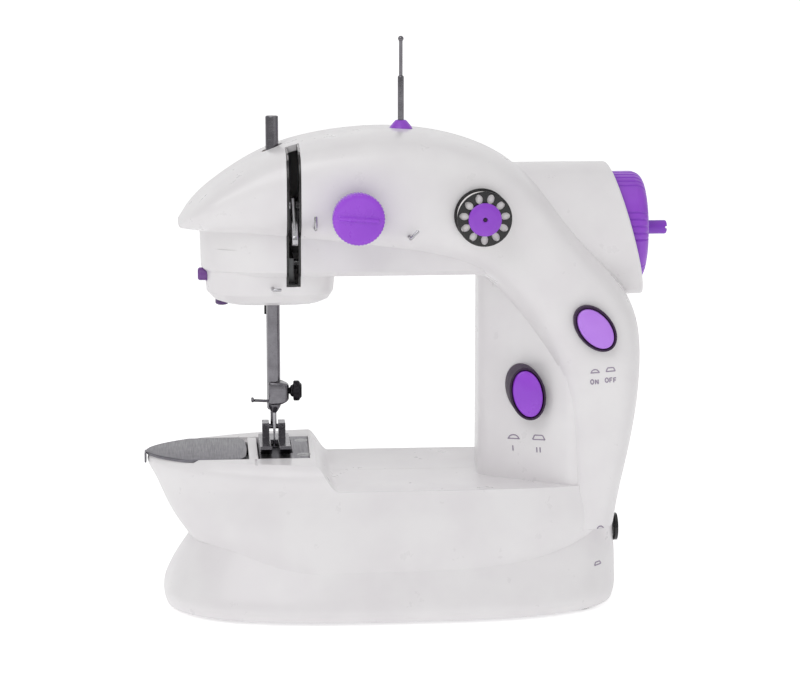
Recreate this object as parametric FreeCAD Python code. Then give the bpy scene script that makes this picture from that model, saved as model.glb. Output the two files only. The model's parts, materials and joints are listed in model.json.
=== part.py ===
import FreeCAD, Part
import math
import os

V = FreeCAD.Vector

# ---------------------------------------------------------------- driving sizes, millimetres
base_length = 178.0        # footprint of the base, left to right
base_depth = 100.0         # footprint of the base, front to back
bed_top_z = 59.5           # working surface over the hook
floor_z = 50.0             # lower part of the bed, in front of the column
shaft_z = 145.3            # axis of the main shaft and of the hand wheel
arm_top_z = 185.0          # highest point of the arm
arm_under_z = 131.3        # underside of the arm
head_under_z = 119.3       # underside of the head
needle_x = -52.0           # needle and both bars stand on this line
crank_r = 13.0             # half of the needle bar's stroke
wheel_r = 22.1             # hand wheel
winder_r = 2.7             # bobbin winding spindle on the hand wheel
wall = 2.4                 # thickness of the moulded shells
shaft_r = 3.0              # main and lower shafts
bar_r = 2.5                # needle bar and presser bar
run = 0.05                 # radial clearance of a shaft or bar in its bush
gap = 0.35                 # clearance between pieces that move past each other
plate_t = 1.5              # needle plate
lower_shaft_z = 27.0       # axis of the lower shaft
hook_x = -68.5             # axis of the rotary hook
spool_pin_x = -2.2         # telescopic thread pin on the arm
dial_x = -21.5             # tension dial
bobbin_x = 25.0            # thread bobbin on the front of the arm
front_z = 155.2            # height of the dial and of the front bobbin
thread_bobbin_r = 10.3     # standard small bobbin
foot_height = 1.6          # rubber feet below the tray

# ---------------------------------------------------------------- derived sizes
base_mid_x = -7.2
half_length = base_length / 2.0
half_depth = base_depth / 2.0
body_half = 36.5           # half depth of the arm and of the curved band
yoke_z = shaft_z - crank_r
wheel_x0 = 75.0
wheel_x1 = 92.3
cup_r = wheel_r + 1.3
housing_r = wheel_r + 3.9  # round housing beside the hand wheel
case_r = thread_bobbin_r + 3.15
hook_r = case_r + 2.05     # outside of the rotary hook


# ---------------------------------------------------------------- plain solids
def box(x0, x1, y0, y1, z0, z1):
    return Part.makeBox(x1 - x0, y1 - y0, z1 - z0, V(x0, y0, z0))


def rod_x(r, x0, x1, y=0.0, z=shaft_z):
    return Part.makeCylinder(r, x1 - x0, V(x0, y, z), V(1, 0, 0))


def rod_y(r, y0, y1, x, z):
    return Part.makeCylinder(r, y1 - y0, V(x, y0, z), V(0, 1, 0))


def rod_z(r, z0, z1, x=0.0, y=0.0):
    return Part.makeCylinder(r, z1 - z0, V(x, y, z0), V(0, 0, 1))


def cone_z(r0, r1, z0, z1, x=0.0, y=0.0):
    return Part.makeCone(r0, r1, z1 - z0, V(x, y, z0), V(0, 0, 1))


def cone_y(r0, r1, y0, y1, x, z):
    return Part.makeCone(r0, r1, y1 - y0, V(x, y0, z), V(0, 1, 0))


def cone_x(r0, r1, x0, x1, y, z):
    return Part.makeCone(r0, r1, x1 - x0, V(x0, y, z), V(1, 0, 0))


def join(solids):
    whole = solids[0]
    if len(solids) > 1:
        whole = whole.multiFuse(solids[1:])
    return whole.removeSplitter()


def prism(points, axis, start, length):
    """A straight prism over a polygon given in the two coordinates other than the axis."""
    if axis == "y":
        corners = [V(a, start, b) for a, b in points]
        along = V(0, length, 0)
    elif axis == "x":
        corners = [V(start, a, b) for a, b in points]
        along = V(length, 0, 0)
    else:
        corners = [V(a, b, start) for a, b in points]
        along = V(0, 0, length)
    return Part.Face(Part.makePolygon(corners + corners[:1])).extrude(along)


def oval_y(rx, rz, y0, y1, x, z, tilt):
    """An elliptical cylinder along Y whose long axis rz leans by tilt degrees."""
    major = max(rx, rz)
    minor = min(rx, rz)
    curve = Part.Ellipse(V(0, 0, 0), major, minor)
    face = Part.Face(Part.Wire(curve.toShape()))
    body = face.extrude(V(0, 0, y1 - y0))
    body.rotate(V(0, 0, 0), V(1, 0, 0), -90)
    if rz > rx:
        body.rotate(V(0, 0, 0), V(0, 1, 0), 90)
    body.rotate(V(0, 0, 0), V(0, 1, 0), tilt)
    body.translate(V(x, y0, z))
    return body


# ---------------------------------------------------------------- smooth shells
def power(value, n):
    return math.copysign(abs(value) ** (2.0 / n), value)


def plan_wire(z, x_left, x_right, depth, n_left, n_right, x_mid, points=44):
    """A closed smooth outline in plan: a squared ellipse with its own corner at each end."""
    outline = []
    for i in range(points):
        angle = 2.0 * math.pi * (i + 0.5) / points
        c = math.cos(angle)
        s = math.sin(angle)
        if c > 0:
            x = x_mid + (x_right - x_mid) * power(c, n_right)
            y = depth * power(s, n_right)
        else:
            x = x_mid + (x_mid - x_left) * power(c, n_left)
            y = depth * power(s, n_left)
        outline.append(V(x, y, z))
    curve = Part.BSplineCurve()
    curve.interpolate(outline, PeriodicFlag=True)
    return Part.Wire(curve.toShape())


def plan_loft(stations, x_mid, inset=0.0, ruled=False):
    """A solid through plan outlines, every wall moved inwards by inset."""
    z0 = stations[0][0]
    z1 = stations[-1][0]
    middle = (z0 + z1) / 2.0
    squeeze = (z1 - z0 - 2.0 * inset) / (z1 - z0)
    wires = []
    for z, x_left, x_right, depth, n_left, n_right in stations:
        level = middle + (z - middle) * squeeze
        wires.append(plan_wire(level, x_left + inset, x_right - inset, depth - inset,
                               n_left, n_right, x_mid))
    return Part.makeLoft(wires, True, ruled)


def sweep_wire(outer, inner, depth, inset, n=3.6, points=36):
    """A squared ellipse between an outer and an inner point of the side view."""
    ox, oz = outer
    ix, iz = inner
    width = math.hypot(ox - ix, oz - iz)
    ux = (ox - ix) / width
    uz = (oz - iz) / width
    mx = (ox + ix) / 2.0
    mz = (oz + iz) / 2.0
    half = width / 2.0 - inset
    outline = []
    for i in range(points):
        angle = 2.0 * math.pi * (i + 0.5) / points
        across = half * power(math.cos(angle), n)
        y = (depth - inset) * power(math.sin(angle), n)
        outline.append(V(mx + ux * across, y, mz + uz * across))
    curve = Part.BSplineCurve()
    curve.interpolate(outline, PeriodicFlag=True)
    return Part.Wire(curve.toShape())


# Curved cover: outer point, inner point and half depth from the tip of the head, over the arm
# and down the right-hand side as one crescent-shaped band.
crescent = [
    ((-88.6, 150.0), (-87.2, 147.9), 13.0),
    ((-84.6, 155.6), (-79.0, 147.6), 25.0),
    ((-73.0, 166.0), (-66.0, 146.6), 32.0),
    ((-55.0, 176.6), (-50.0, 144.6), 35.2),
    ((-36.0, 182.4), (-33.0, 142.4), 36.2),
    ((-15.0, arm_top_z), (-16.0, 140.0), body_half),
    ((6.0, 184.2), (1.0, 137.6), body_half),
    ((24.0, 180.2), (14.5, 134.8), body_half),
    ((41.0, 171.6), (25.5, 130.6), body_half),
    ((55.0, 157.0), (34.5, 123.5), body_half),
    ((67.0, 143.0), (41.5, 115.0), body_half),
    ((78.5, 130.0), (47.0, 106.0), body_half),
    ((87.0, 116.0), (51.5, 96.0), body_half),
    ((89.5, 98.0), (55.0, 84.0), body_half),
    ((88.3, 80.0), (57.2, 71.0), body_half),
    ((85.2, 62.0), (58.6, 57.0), 36.2),
    ((81.6, 46.0), (59.4, 43.0), 36.0),
    ((79.4, 34.0), (59.8, 32.0), 36.0),
]

bed_stations = [
    (13.0, -66.0, 34.0, 42.4, 2.4, 4.0),
    (18.0, -77.0, 52.0, 43.2, 2.4, 4.5),
    (25.0, -84.5, 66.0, 42.8, 2.3, 5.0),
    (33.0, -90.5, 76.0, 41.8, 2.2, 5.0),
    (42.0, -95.5, 79.6, 40.3, 2.0, 5.0),
    (51.0, -99.6, 79.4, 38.4, 1.85, 5.0),
    (bed_top_z - 2.6, -101.7, 79.2, 37.0, 1.8, 5.0),
    (bed_top_z, -100.6, 78.0, 34.6, 1.75, 5.0),
]

left = base_mid_x - half_length
right = base_mid_x + half_length
base_stations = [
    (foot_height, left + 0.9, right - 0.9, half_depth - 0.9, 3.0, 3.0),
    (5.0, left, right, half_depth, 3.0, 3.0),
    (9.5, left + 1.2, right + 0.2, half_depth - 1.0, 3.0, 3.0),
    (14.5, left + 3.7, right + 0.1, half_depth - 3.8, 3.0, 3.1),
    (20.0, left + 7.2, right - 0.2, half_depth - 7.0, 3.0, 3.3),
    (27.0, left + 12.0, right - 0.8, half_depth - 10.2, 3.0, 3.6),
    (35.0, left + 18.0, right - 1.4, half_depth - 12.6, 3.0, 4.0),
    (44.0, left + 26.0, right - 2.2, half_depth - 14.6, 3.0, 4.0),
]

arm_stations = [
    (arm_under_z, -78.4, 47.5, 27.4, 3.4, 6.0),
    (arm_under_z + 1.6, -80.0, 48.5, 29.0, 3.4, 6.0),
    (158.0, -80.6, 49.0, 29.3, 3.4, 6.0),
]

head_stations = [
    (head_under_z, -71.5, -33.5, 19.5, 3.0, 3.4),
    (head_under_z + 1.4, -75.4, -30.6, 22.4, 3.0, 3.4),
    (head_under_z + 4.2, -78.0, -28.9, 24.4, 3.0, 3.4),
    (arm_under_z + 10.0, -79.2, -27.2, 26.0, 3.0, 3.4),
]


def crescent_solid(inset):
    wires = []
    for outer, inner, depth in crescent:
        if math.hypot(outer[0] - inner[0], outer[1] - inner[1]) > 2.0 * inset + 1.2:
            wires.append(sweep_wire(outer, inner, depth, inset))
    return Part.makeLoft(wires, True, False)


def step_cut(inset):
    """The space above the low part of the bed, from the raised bed to beyond the column."""
    edge = [(-36.5 - inset, bed_top_z + 6), (-36.5 - inset, bed_top_z - 1.0),
            (-33.5 - inset, floor_z + 1.5 - inset), (-31.5 - inset, floor_z - inset),
            (90.0, floor_z - inset), (90.0, bed_top_z + 6)]
    return prism(edge, "y", -60.0, 120.0)


def bed_solid(inset):
    whole = plan_loft(bed_stations, -25.0, inset)
    return whole.cut(step_cut(inset))


def base_solid(inset):
    stations = list(base_stations)
    whole = plan_loft(stations, base_mid_x, inset)
    if inset > 0:
        first = stations[0]
        mouth = [(first[0] - 1.0, first[1] + inset, first[2] - inset, first[3] - inset),
                 (first[0] + 4.0, first[1] + inset, first[2] - inset, first[3] - inset)]
        wires = [plan_wire(z, a, b, d, 3.0, 3.0, base_mid_x) for z, a, b, d in mouth]
        whole = whole.fuse(Part.makeLoft(wires, True, True))
    return whole


def column_solid(inset):
    """The recessed column; its face turns away from the front towards the left."""
    x0 = 27.0 + inset
    face = [(x0, -10.5 + inset), (x0 + 2.2, -14.0 + inset), (60.0, -33.6 + inset),
            (75.0, -33.6 + inset), (75.0, 33.0 - inset), (34.0, 33.0 - inset),
            (x0 + 5.0, 29.0 - inset), (x0 + 2.2, 20.0 - inset)]
    return prism(face, "z", floor_z - 8.0, arm_under_z - floor_z + 14.0)


def rim_cut(shift=0.0):
    """Everything to the right of the slanted rim of the round housing."""
    edge = [(77.0 + shift, shaft_z + 30.0), (91.4 + shift, shaft_z - 22.5),
            (91.4 + shift, shaft_z - 40.0), (130.0, shaft_z - 40.0), (130.0, shaft_z + 30.0)]
    return prism(edge, "y", -60.0, 120.0)


def housing_solid(inset):
    x0 = 32.0 + inset
    x1 = 95.0
    if inset > 0:
        x1 = wheel_x0 - 4.0
    body = rod_x(housing_r - inset, x0, x1)
    if inset == 0:
        body = body.cut(rim_cut())
        body = body.cut(rod_x(cup_r, wheel_x0 - 1.2, 130.0))
    return body


def body_solid(inset):
    pieces = [
        crescent_solid(inset),
        bed_solid(inset),
        base_solid(inset),
        column_solid(inset),
        plan_loft(arm_stations, -20.0, inset, True),
        plan_loft(head_stations, -54.0, inset, True),
    ]
    whole = pieces[0]
    for piece in pieces[1:]:
        whole = whole.fuse(piece)
    return whole


# ---------------------------------------------------------------- small repeated pieces
def screw_at(x, z, head_y):
    """Casing screw driven forwards from the back; head_y is the face its head rests on."""
    head = rod_y(screw_head_r, head_y, head_y + screw_head_h, x, z)
    shank = rod_y(screw_r, head_y - screw_length, head_y, x, z)
    slot = box(x - 2.0, x + 2.0, head_y + 0.5, head_y + 9.0, z - 0.35, z + 0.35)
    return head.fuse(shank).cut(slot)


def plate_screw_at(x, y):
    head = rod_z(screw_head_r, bed_top_z - screw_head_h, bed_top_z, x, y)
    shank = rod_z(screw_r, bed_top_z - screw_head_h - screw_length, bed_top_z, x, y)
    slot = box(x - 2.0, x + 2.0, y - 0.35, y + 0.35, bed_top_z - 0.6, bed_top_z + 1.0)
    return head.fuse(shank).cut(slot)


def belt_outline(r_top, z_top, r_low, z_low, x0, x1):
    """The solid wrapped by a belt round two pulleys, one above the other."""
    lean = (r_top - r_low) / (z_top - z_low)
    across = math.sqrt(1.0 - lean * lean)
    corners = [(r_top * across, z_top + r_top * lean), (-r_top * across, z_top + r_top * lean),
               (-r_low * across, z_low + r_low * lean), (r_low * across, z_low + r_low * lean)]
    middle = prism(corners, "x", x0, x1 - x0)
    return join([middle, rod_x(r_top, x0, x1, 0, z_top), rod_x(r_low, x0, x1, 0, z_low)])


def belt(r_top, z_top, r_low, z_low, x0, x1, thick):
    outside = belt_outline(r_top + gap + thick, z_top, r_low + gap + thick, z_low, x0, x1)
    return outside.cut(belt_outline(r_top + gap, z_top, r_low + gap, z_low, x0 - 1, x1 + 1))


def pulley(r, x0, x1, z, flange):
    sides = [rod_x(r + flange, x0, x0 + 0.9, 0, z), rod_x(r + flange, x1 - 0.9, x1, 0, z)]
    return join([rod_x(r, x0, x1, 0, z)] + sides)


def bevel_gear(teeth, pitch_r, height, start_angle):
    """A bevel gear on +Z with the tip of its pitch cone at the origin."""
    size = math.hypot(pitch_r, height)
    low = 0.66
    drop = 0.9
    sunk = drop * height / size
    blank = Part.makeCone(pitch_r * low - sunk, pitch_r - sunk, height * (1 - low),
                          V(0, 0, height * low + drop * pitch_r / size), V(0, 0, 1))
    sides = [(size * low + 0.15, -0.25), (size - 0.15, -0.4),
             (size - 0.15, 0.4), (size * low + 0.15, 0.25)]
    solids = [blank]
    for i in range(teeth):
        tooth = prism(sides, "z", -0.5, 1.7)
        tooth.rotate(V(0, 0, 0), V(0, 1, 0), -math.degrees(math.atan2(height, pitch_r)))
        tooth.rotate(V(0, 0, 0), V(0, 0, 1), start_angle + 360.0 * i / teeth)
        solids.append(tooth)
    return join(solids)


def lead(points, r):
    """An insulated wire through the given points, with rounded corners."""
    solids = []
    for a, b in zip(points[:-1], points[1:]):
        start = V(*a)
        along = V(*b) - start
        solids.append(Part.makeCylinder(r, along.Length, start, along))
    for p in points[1:-1]:
        solids.append(Part.makeSphere(r, V(*p)))
    return join(solids)


def helix_spring(r, wire_r, pitch, z0, z1, x, y):
    path = Part.makeHelix(pitch, z1 - z0, r)
    start = Part.Wire(Part.Circle(V(r, 0, 0), V(0, 1, 0), wire_r).toShape())
    coil = Part.Wire(path).makePipeShell([start], True, False)
    coil.translate(V(x, y, z0))
    return coil


screw_r = 1.25
screw_head_r = 2.7
screw_head_h = 1.2
screw_length = 9.0

nodes = {}

# ---------------------------------------------------------------- moulded covers
slot_x = -45.0
slot_half = 2.7
screw_points = [(-74.0, 157.0), (8.0, 173.0), (43.0, 163.0), (77.0, 84.0), (-16.0, 43.0), (22.0, 43.0)]

outside = body_solid(0.0).fuse(housing_solid(0.0)).cut(rod_x(cup_r, wheel_x0 - 1.2, 130.0))
inside = body_solid(wall).fuse(housing_solid(wall))
inside = inside.cut(rod_x(cup_r + wall, wheel_x0 - 1.2 - wall, 130.0))
shell = outside.cut(inside)

supports = [rod_y(4.2, -70, 70, x, z).common(inside) for x, z in screw_points]
supports.append(rod_z(6.2, 166.0, 190.0, needle_x, 0).common(inside))
supports.append(rod_z(4.6, 176.0, 190.0, spool_pin_x, 0).common(inside))
ear = prism([(-36.0, 152.5), (-20.0, 152.5), (-20.0, 163.5), (-36.0, 163.5)], "x", slot_x - 4.2, 2.2)
ears = [ear, ear.translated(V(6.2, 0, 0))]
supports += [piece.common(inside) for piece in ears]
supports += [rod_z(3.2, 48.0, bed_top_z - 2.0, -41.0, y) for y in (-13.0, 13.0)]
shell = shell.fuse(supports)

slot_space = box(slot_x - slot_half, slot_x + slot_half, -60.0, -15.0, 127.0, 190.0)
trim = shell.common(slot_space)
trim = trim.cut(box(slot_x - 1.8, slot_x + 1.8, -60.0, -15.0, 128.0, 190.0))
shell = shell.cut(box(slot_x - slot_half, slot_x + slot_half, -60.0, -30.5, 127.0, 190.0))
shell = shell.cut(box(slot_x - slot_half, slot_x + slot_half, -31.0, -15.0, 127.0, 152.0))
shell = shell.cut(box(slot_x - 1.8, slot_x + 1.8, -31.0, -15.0, 150.0, 190.0))
trim = trim.cut(shell)

power_at = (68.6, 111.7, -40.0)
speed_at = (43.9, 85.6, -40.0)
light_z = 130.2
pivot_y = -23.5
pivot_z = 158.0
cuts = [
    rod_z(bar_r + 1.5, 110.0, 124.5, needle_x, 0),
    rod_z(bar_r + 1.5, 110.0, 124.5, needle_x, 10.0),
    rod_z(bar_r + 1.5, 160.0, 200.0, needle_x, 0),
    rod_z(3.0, 170.0, 200.0, spool_pin_x, 0),
    rod_z(4.6, arm_top_z - 0.6, 200.0, spool_pin_x, 0),
    rod_x(shaft_r + 2.0, 66.0, 78.0),
    rod_x(1.55, slot_x - 10, slot_x + 10, pivot_y, pivot_z),
    box(needle_x - 4.2, needle_x + 4.2, 18.0, 40.0, 116.0, arm_under_z - 0.3),
    oval_y(6.7, 10.1, -60, -30, power_at[0], power_at[1], -40.0),
    oval_y(6.9, 10.4, -60, -14, speed_at[0], speed_at[1], -12.0),
    rod_y(2.0, -60, -25, dial_x, front_z),
    rod_y(3.0, -60, -25, bobbin_x, front_z),
    rod_x(2.9, -90, -70, -9.0, light_z),
    rod_z(2.6, 110, 124.5, needle_x - 20.0, -7.0),
    rod_z(2.2, 110, 124.5, needle_x - 11.0, -7.0),
    rod_x(4.2, 70, 95, -12.0, 28.0),
    rod_x(4.2, 70, 95, 12.0, 28.0),
    rod_x(5.4, 80.9, 95, -12.0, 28.0),
    rod_x(5.4, 80.9, 95, 12.0, 28.0),
    rod_y(0.62, -60, -20, -37.2, 150.8),
    rod_y(0.62, -60, -20, -1.8, 147.0),
    rod_y(0.62, -60, -18, -53.0, 126.4),
    box(-110.0, -58.4, -20.3, 20.3, bed_top_z - 1.25, 80.0),
    box(-58.5, -38.1, -20.0, 20.0, bed_top_z - plate_t, 80.0),
    box(hook_x - hook_r - 1.5, -43.5, -hook_r - 1.0, hook_r + 1.0, bed_top_z - 3.2, 80.0),
    rod_z(screw_r, 40.0, 80.0, -41.0, -13.0),
    rod_z(screw_r, 40.0, 80.0, -41.0, 13.0),
]
for x, z in screw_points:
    cuts.append(rod_y(screw_r, -12.0, 2.0, x, z))
    cuts.append(rod_y(screw_r + 0.3, 0.0, 60.0, x, z))
    cuts.append(rod_y(screw_head_r + 0.3, 6.0, 60.0, x, z))
shell = shell.cut(cuts)

nodes["front_cover"] = shell.common(box(-120, 120, -70, 0, -5, 240))
nodes["rear_cover"] = shell.common(box(-120, 120, 0, 70, -5, 240))
nodes["slot_trim"] = trim

# ---------------------------------------------------------------- tray, battery door, feet
tray_face = [plan_wire(z, left + 0.9 + wall + 0.2, right - 0.9 - wall - 0.2,
                       half_depth - 0.9 - wall - 0.2, 3.0, 3.0, base_mid_x)
             for z in (foot_height, foot_height + 2.0)]
tray = Part.makeLoft(tray_face, True, True)
bay = box(-4.0, 55.5, -32.5, 32.5, foot_height + 1.0, 19.2)
bay = bay.cut(box(-2.0, 54.0, -31.0, 31.0, 0.0, 18.2))
tray = tray.fuse(bay).cut(box(-2.0, 54.0, -31.0, 31.0, 0.0, 10.0))
nodes["base_tray"] = tray
door = box(-2.0 + gap, 52.5, -31.0 + gap, 31.0 - gap, foot_height + 0.1, foot_height + 1.7)
nodes["battery_door"] = door.fuse(rod_y(0.8, -31.0 + gap, 31.0 - gap, 52.5, foot_height + 0.9))
nodes["rubber_feet"] = Part.makeCompound([
    rod_z(6.0, 0.0, foot_height, x, y) for x in (-70.0, 64.0) for y in (-27.0, 27.0)])

# ---------------------------------------------------------------- chassis and bushes
chassis = [
    box(-60.0, 56.0, 20.0, 22.0, shaft_z - 2.6, shaft_z + 7.4),
    box(34.0, 68.0, 20.0, 22.0, 20.0, shaft_z + 3.0),
    box(-76.0, 68.0, 20.0, 22.0, 20.0, 34.0),
    box(-34.0, -28.0, -6.5, 21.0, shaft_z - 6.5, shaft_z + 6.5),
    box(24.0, 30.0, -6.5, 21.0, shaft_z - 6.5, shaft_z + 6.5),
    box(needle_x - 5.0, needle_x + 4.0, 5.5, 21.0, 150.0, 155.0),
    box(needle_x - 8.0, needle_x - 5.5, 14.5, 22.0, 122.5, 152.0),
    box(-44.0, -38.0, -6.0, 21.0, lower_shaft_z - 6.0, lower_shaft_z + 6.0),
    box(48.0, 54.0, -6.0, 21.0, lower_shaft_z - 6.0, lower_shaft_z + 6.0),
    box(-74.5, -62.5, -6.0, 21.0, 7.0, 15.0),
    box(-74.5, -62.5, 18.5, 22.0, 7.0, 34.0),
    rod_y(2.0, -18.0, 21.0, -36.0, 38.0),
    box(-38.0, -34.0, 20.0, 22.0, 30.0, 41.0),
    box(38.0, 46.0, 6.0, 21.0, 88.0, 102.0),
    rod_y(3.0, 21.0, 60.0, 62.0, 122.0).common(inside),
    rod_y(3.0, 21.0, 60.0, 65.0, 70.0).common(inside),
    rod_y(3.0, 21.0, 60.0, 2.0, 149.0).common(inside),
]
frame = join(chassis)
frame_cuts = [
    rod_x(5.0, -40.0, 40.0),
    rod_x(5.0, -46.0, 60.0, 0, lower_shaft_z),
    rod_z(5.0, 5.0, 17.0, hook_x, 0),
    rod_z(bar_r + run, 140.0, 165.0, needle_x, 10.0),
    rod_x(1.55, needle_x - 12, needle_x, 17.5, 126.5),
    rod_x(12.0, 30.0, 60.0, 2.0, 95.0),
]
for piece in frame_cuts:
    frame = frame.cut(piece)
nodes["chassis"] = frame

bushes = []
for x in (-34.0, 24.0):
    bushes.append(rod_x(5.0, x, x + 6.0).cut(rod_x(shaft_r + run, x - 1, x + 9)))
bushes.append(rod_x(5.0, 70.6, 73.6).cut(rod_x(shaft_r + run, 69, 75)))
for x in (-44.0, 48.0):
    ring = rod_x(5.0, x, x + 6.0, 0, lower_shaft_z)
    bushes.append(ring.cut(rod_x(shaft_r + run, x - 1, x + 9, 0, lower_shaft_z)))
bushes.append(rod_z(5.0, 7.0, 15.0, hook_x, 0).cut(rod_z(shaft_r + run, 5, 30, hook_x, 0)))
for y in (0.0, 10.0):
    ring = rod_z(bar_r + 1.5, head_under_z - 0.5, 123.4, needle_x, y)
    bushes.append(ring.cut(rod_z(bar_r + run, 110, 130, needle_x, y)))
collar = rod_z(bar_r + 1.5, 166.5, 175.6, needle_x, 0)
bushes.append(collar.cut(rod_z(bar_r + run, 160, 190, needle_x, 0)))
nodes["bushes"] = Part.makeCompound(bushes)

# ---------------------------------------------------------------- main shaft line
nodes["main_shaft"] = rod_x(shaft_r, -41.0, 84.0)
disc = rod_x(16.0, -41.0, -37.0).fuse(rod_x(2.0, -44.2, -40.0, 0, shaft_z - crank_r))
disc = disc.fuse(rod_x(6.0, -37.0, -34.6))
nodes["crank_disc"] = disc.cut(rod_x(shaft_r, -42.0, -30.0))
main_pulley = join([pulley(18.0, 56.0, 60.2, shaft_z, 1.5), pulley(8.0, 60.2, 67.0, shaft_z, 1.2)])
nodes["main_pulley"] = main_pulley.cut(rod_x(shaft_r, 50.0, 72.0))

profile = [V(wheel_x0, shaft_r, 0), V(wheel_x0, wheel_r - 1.5, 0), V(wheel_x0 + 1.5, wheel_r, 0),
           V(wheel_x1 - 4.2, wheel_r, 0), V(wheel_x1 - 1.8, wheel_r - 0.9, 0),
           V(wheel_x1 - 0.3, wheel_r - 2.9, 0), V(wheel_x1 + 0.6, wheel_r - 9.0, 0),
           V(wheel_x1 + 1.2, 6.0, 0), V(wheel_x1 + 1.3, shaft_r, 0)]
wheel = Part.Face(Part.makePolygon(profile + profile[:1])).revolve(V(0, 0, 0), V(1, 0, 0), 360)
wheel.translate(V(0, 0, shaft_z))
grooves = []
for group in range(6):
    for k in range(-2, 3):
        cutter = rod_x(0.55, wheel_x0 + 2.6, wheel_x1 - 1.0, -wheel_r - 0.1, 0)
        cutter.rotate(V(0, 0, 0), V(1, 0, 0), 60.0 * group + 7.0 * k - 8.0)
        cutter.translate(V(0, 0, shaft_z))
        grooves.append(cutter)
nodes["hand_wheel"] = wheel.cut(Part.makeCompound(grooves))
spindle = rod_x(shaft_r, 84.0, wheel_x1 + 1.3).fuse(rod_x(winder_r, 90.0, 102.2))
spindle = spindle.cut(box(101.4, 103.0, -4, 4, shaft_z - 0.5, shaft_z + 0.5))
nodes["winder_spindle"] = spindle
nodes["hand_wheel"] = nodes["hand_wheel"].cut(rod_x(shaft_r, 70.0, 110.0))

# ---------------------------------------------------------------- motor and belts
nodes["motor_body"] = join([rod_x(12.0, 31.0, 54.0, 2.0, 95.0), rod_x(4.0, 54.0, 55.2, 2.0, 95.0)]).cut(
    rod_x(1.05, 40.0, 60.0, 2.0, 95.0))
rotor = pulley(5.0, 56.0, 60.2, 95.0, 1.5).fuse(rod_x(1.0, 42.0, 60.2, 0, 95.0))
rotor.translate(V(0, 2.0, 0))
nodes["motor_pulley"] = rotor
drive = belt(18.0, shaft_z, 5.0, 95.0, 57.25, 58.95, 1.0)
drive.rotate(V(0, 0, shaft_z), V(1, 0, 0), math.degrees(math.atan2(2.0, shaft_z - 95.0)))
nodes["drive_belt"] = drive
nodes["timing_belt"] = belt(8.0, shaft_z, 8.0, lower_shaft_z, 61.5, 65.7, 1.0)

# ---------------------------------------------------------------- lower shaft, hook and bobbin
nodes["lower_shaft"] = rod_x(shaft_r, -60.5, 67.0, 0, lower_shaft_z)
nodes["lower_pulley"] = pulley(8.0, 60.2, 67.0, lower_shaft_z, 1.2).cut(
    rod_x(shaft_r, 50.0, 72.0, 0, lower_shaft_z))
gear = bevel_gear(24, 10.0, 5.0, 0.0)
gear.rotate(V(0, 0, 0), V(0, 1, 0), 90)
gear.translate(V(hook_x, 0, lower_shaft_z))
gear = gear.fuse(rod_x(6.0, -63.4, -56.0, 0, lower_shaft_z))
nodes["lower_gear"] = gear.cut(rod_x(shaft_r, -70.0, -50.0, 0, lower_shaft_z))
pinion = bevel_gear(12, 5.0, 10.0, 15.0)
pinion.translate(V(hook_x, 0, lower_shaft_z))
nodes["hook_gear"] = pinion.cut(rod_z(2.0, 20.0, 50.0, hook_x, 0))
hook = join([rod_z(2.0, 15.0, 41.0, hook_x, 0), rod_z(shaft_r, 7.0, 15.5, hook_x, 0),
             rod_z(hook_r, 39.6, 41.0, hook_x, 0),
             rod_z(hook_r, 41.0, 52.0, hook_x, 0).cut(rod_z(hook_r - 1.7, 40, 53, hook_x, 0))])
hook = hook.cut(prism([(hook_x, 60.0), (hook_x + 9.0, 60.0), (hook_x, 0.0)], "z", 46.0, 8.0))
nodes["rotary_hook"] = hook
case = rod_z(case_r, 41.4, 54.6, hook_x, 0).cut(rod_z(thread_bobbin_r + 1.15, 42.6, 60, hook_x, 0))
case = case.fuse(rod_z(2.6, 42.0, 52.0, hook_x, 0))
case = case.fuse(box(hook_x - 2, hook_x + 2, -hook_r - 3.7, -case_r + 1.2, 52.4, 54.6))
case = case.fuse(box(hook_x - 2, hook_x + 2, -hook_r - 3.7, -hook_r - 1.5, 52.4, bed_top_z - wall))
nodes["bobbin_case"] = case
low_bobbin = join([rod_z(thread_bobbin_r, 43.0, 43.9, hook_x, 0), rod_z(thread_bobbin_r, 53.8, 54.7, hook_x, 0),
                   rod_z(7.5, 43.0, 54.7, hook_x, 0)]).cut(rod_z(2.68, 40, 60, hook_x, 0))
nodes["lower_bobbin"] = low_bobbin

# ---------------------------------------------------------------- feed
carrier = box(-48.0, -33.0, -5.0, 5.0, 34.2, 42.0)
carrier = carrier.cut(rod_z(2.05, 30, 45, -44.5, 0)).cut(rod_y(2.05, -10, 10, -36.0, 38.0))
nodes["feed_carrier"] = carrier
feed = join([rod_z(2.0, 34.6, 54.0, -44.5, 0), box(-54.2, -44.9, -8.0, 12.0, 53.0, 55.0)])
feed = feed.cut(box(-53.6, -50.4, -9.0, 2.4, 50.0, 60.0))
rows = [box(-47.9, -45.9, -7.5, 9.5, 55.0, 56.6), box(-53.4, -50.6, 4.0, 12.0, 55.0, 56.6)]
teeth = []
for x0, x1, y0, y1 in ((-47.9, -45.9, -7.5, 9.5), (-53.4, -50.6, 4.0, 12.0)):
    count = int((y1 - y0) / 1.4)
    for k in range(count):
        y = y0 + 1.4 * k
        teeth.append(prism([(y, 56.6), (y + 1.2, 56.6), (y + 0.2, 57.55)], "x", x0, x1 - x0))
nodes["feed_dog"] = join([feed] + rows + teeth)

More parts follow.
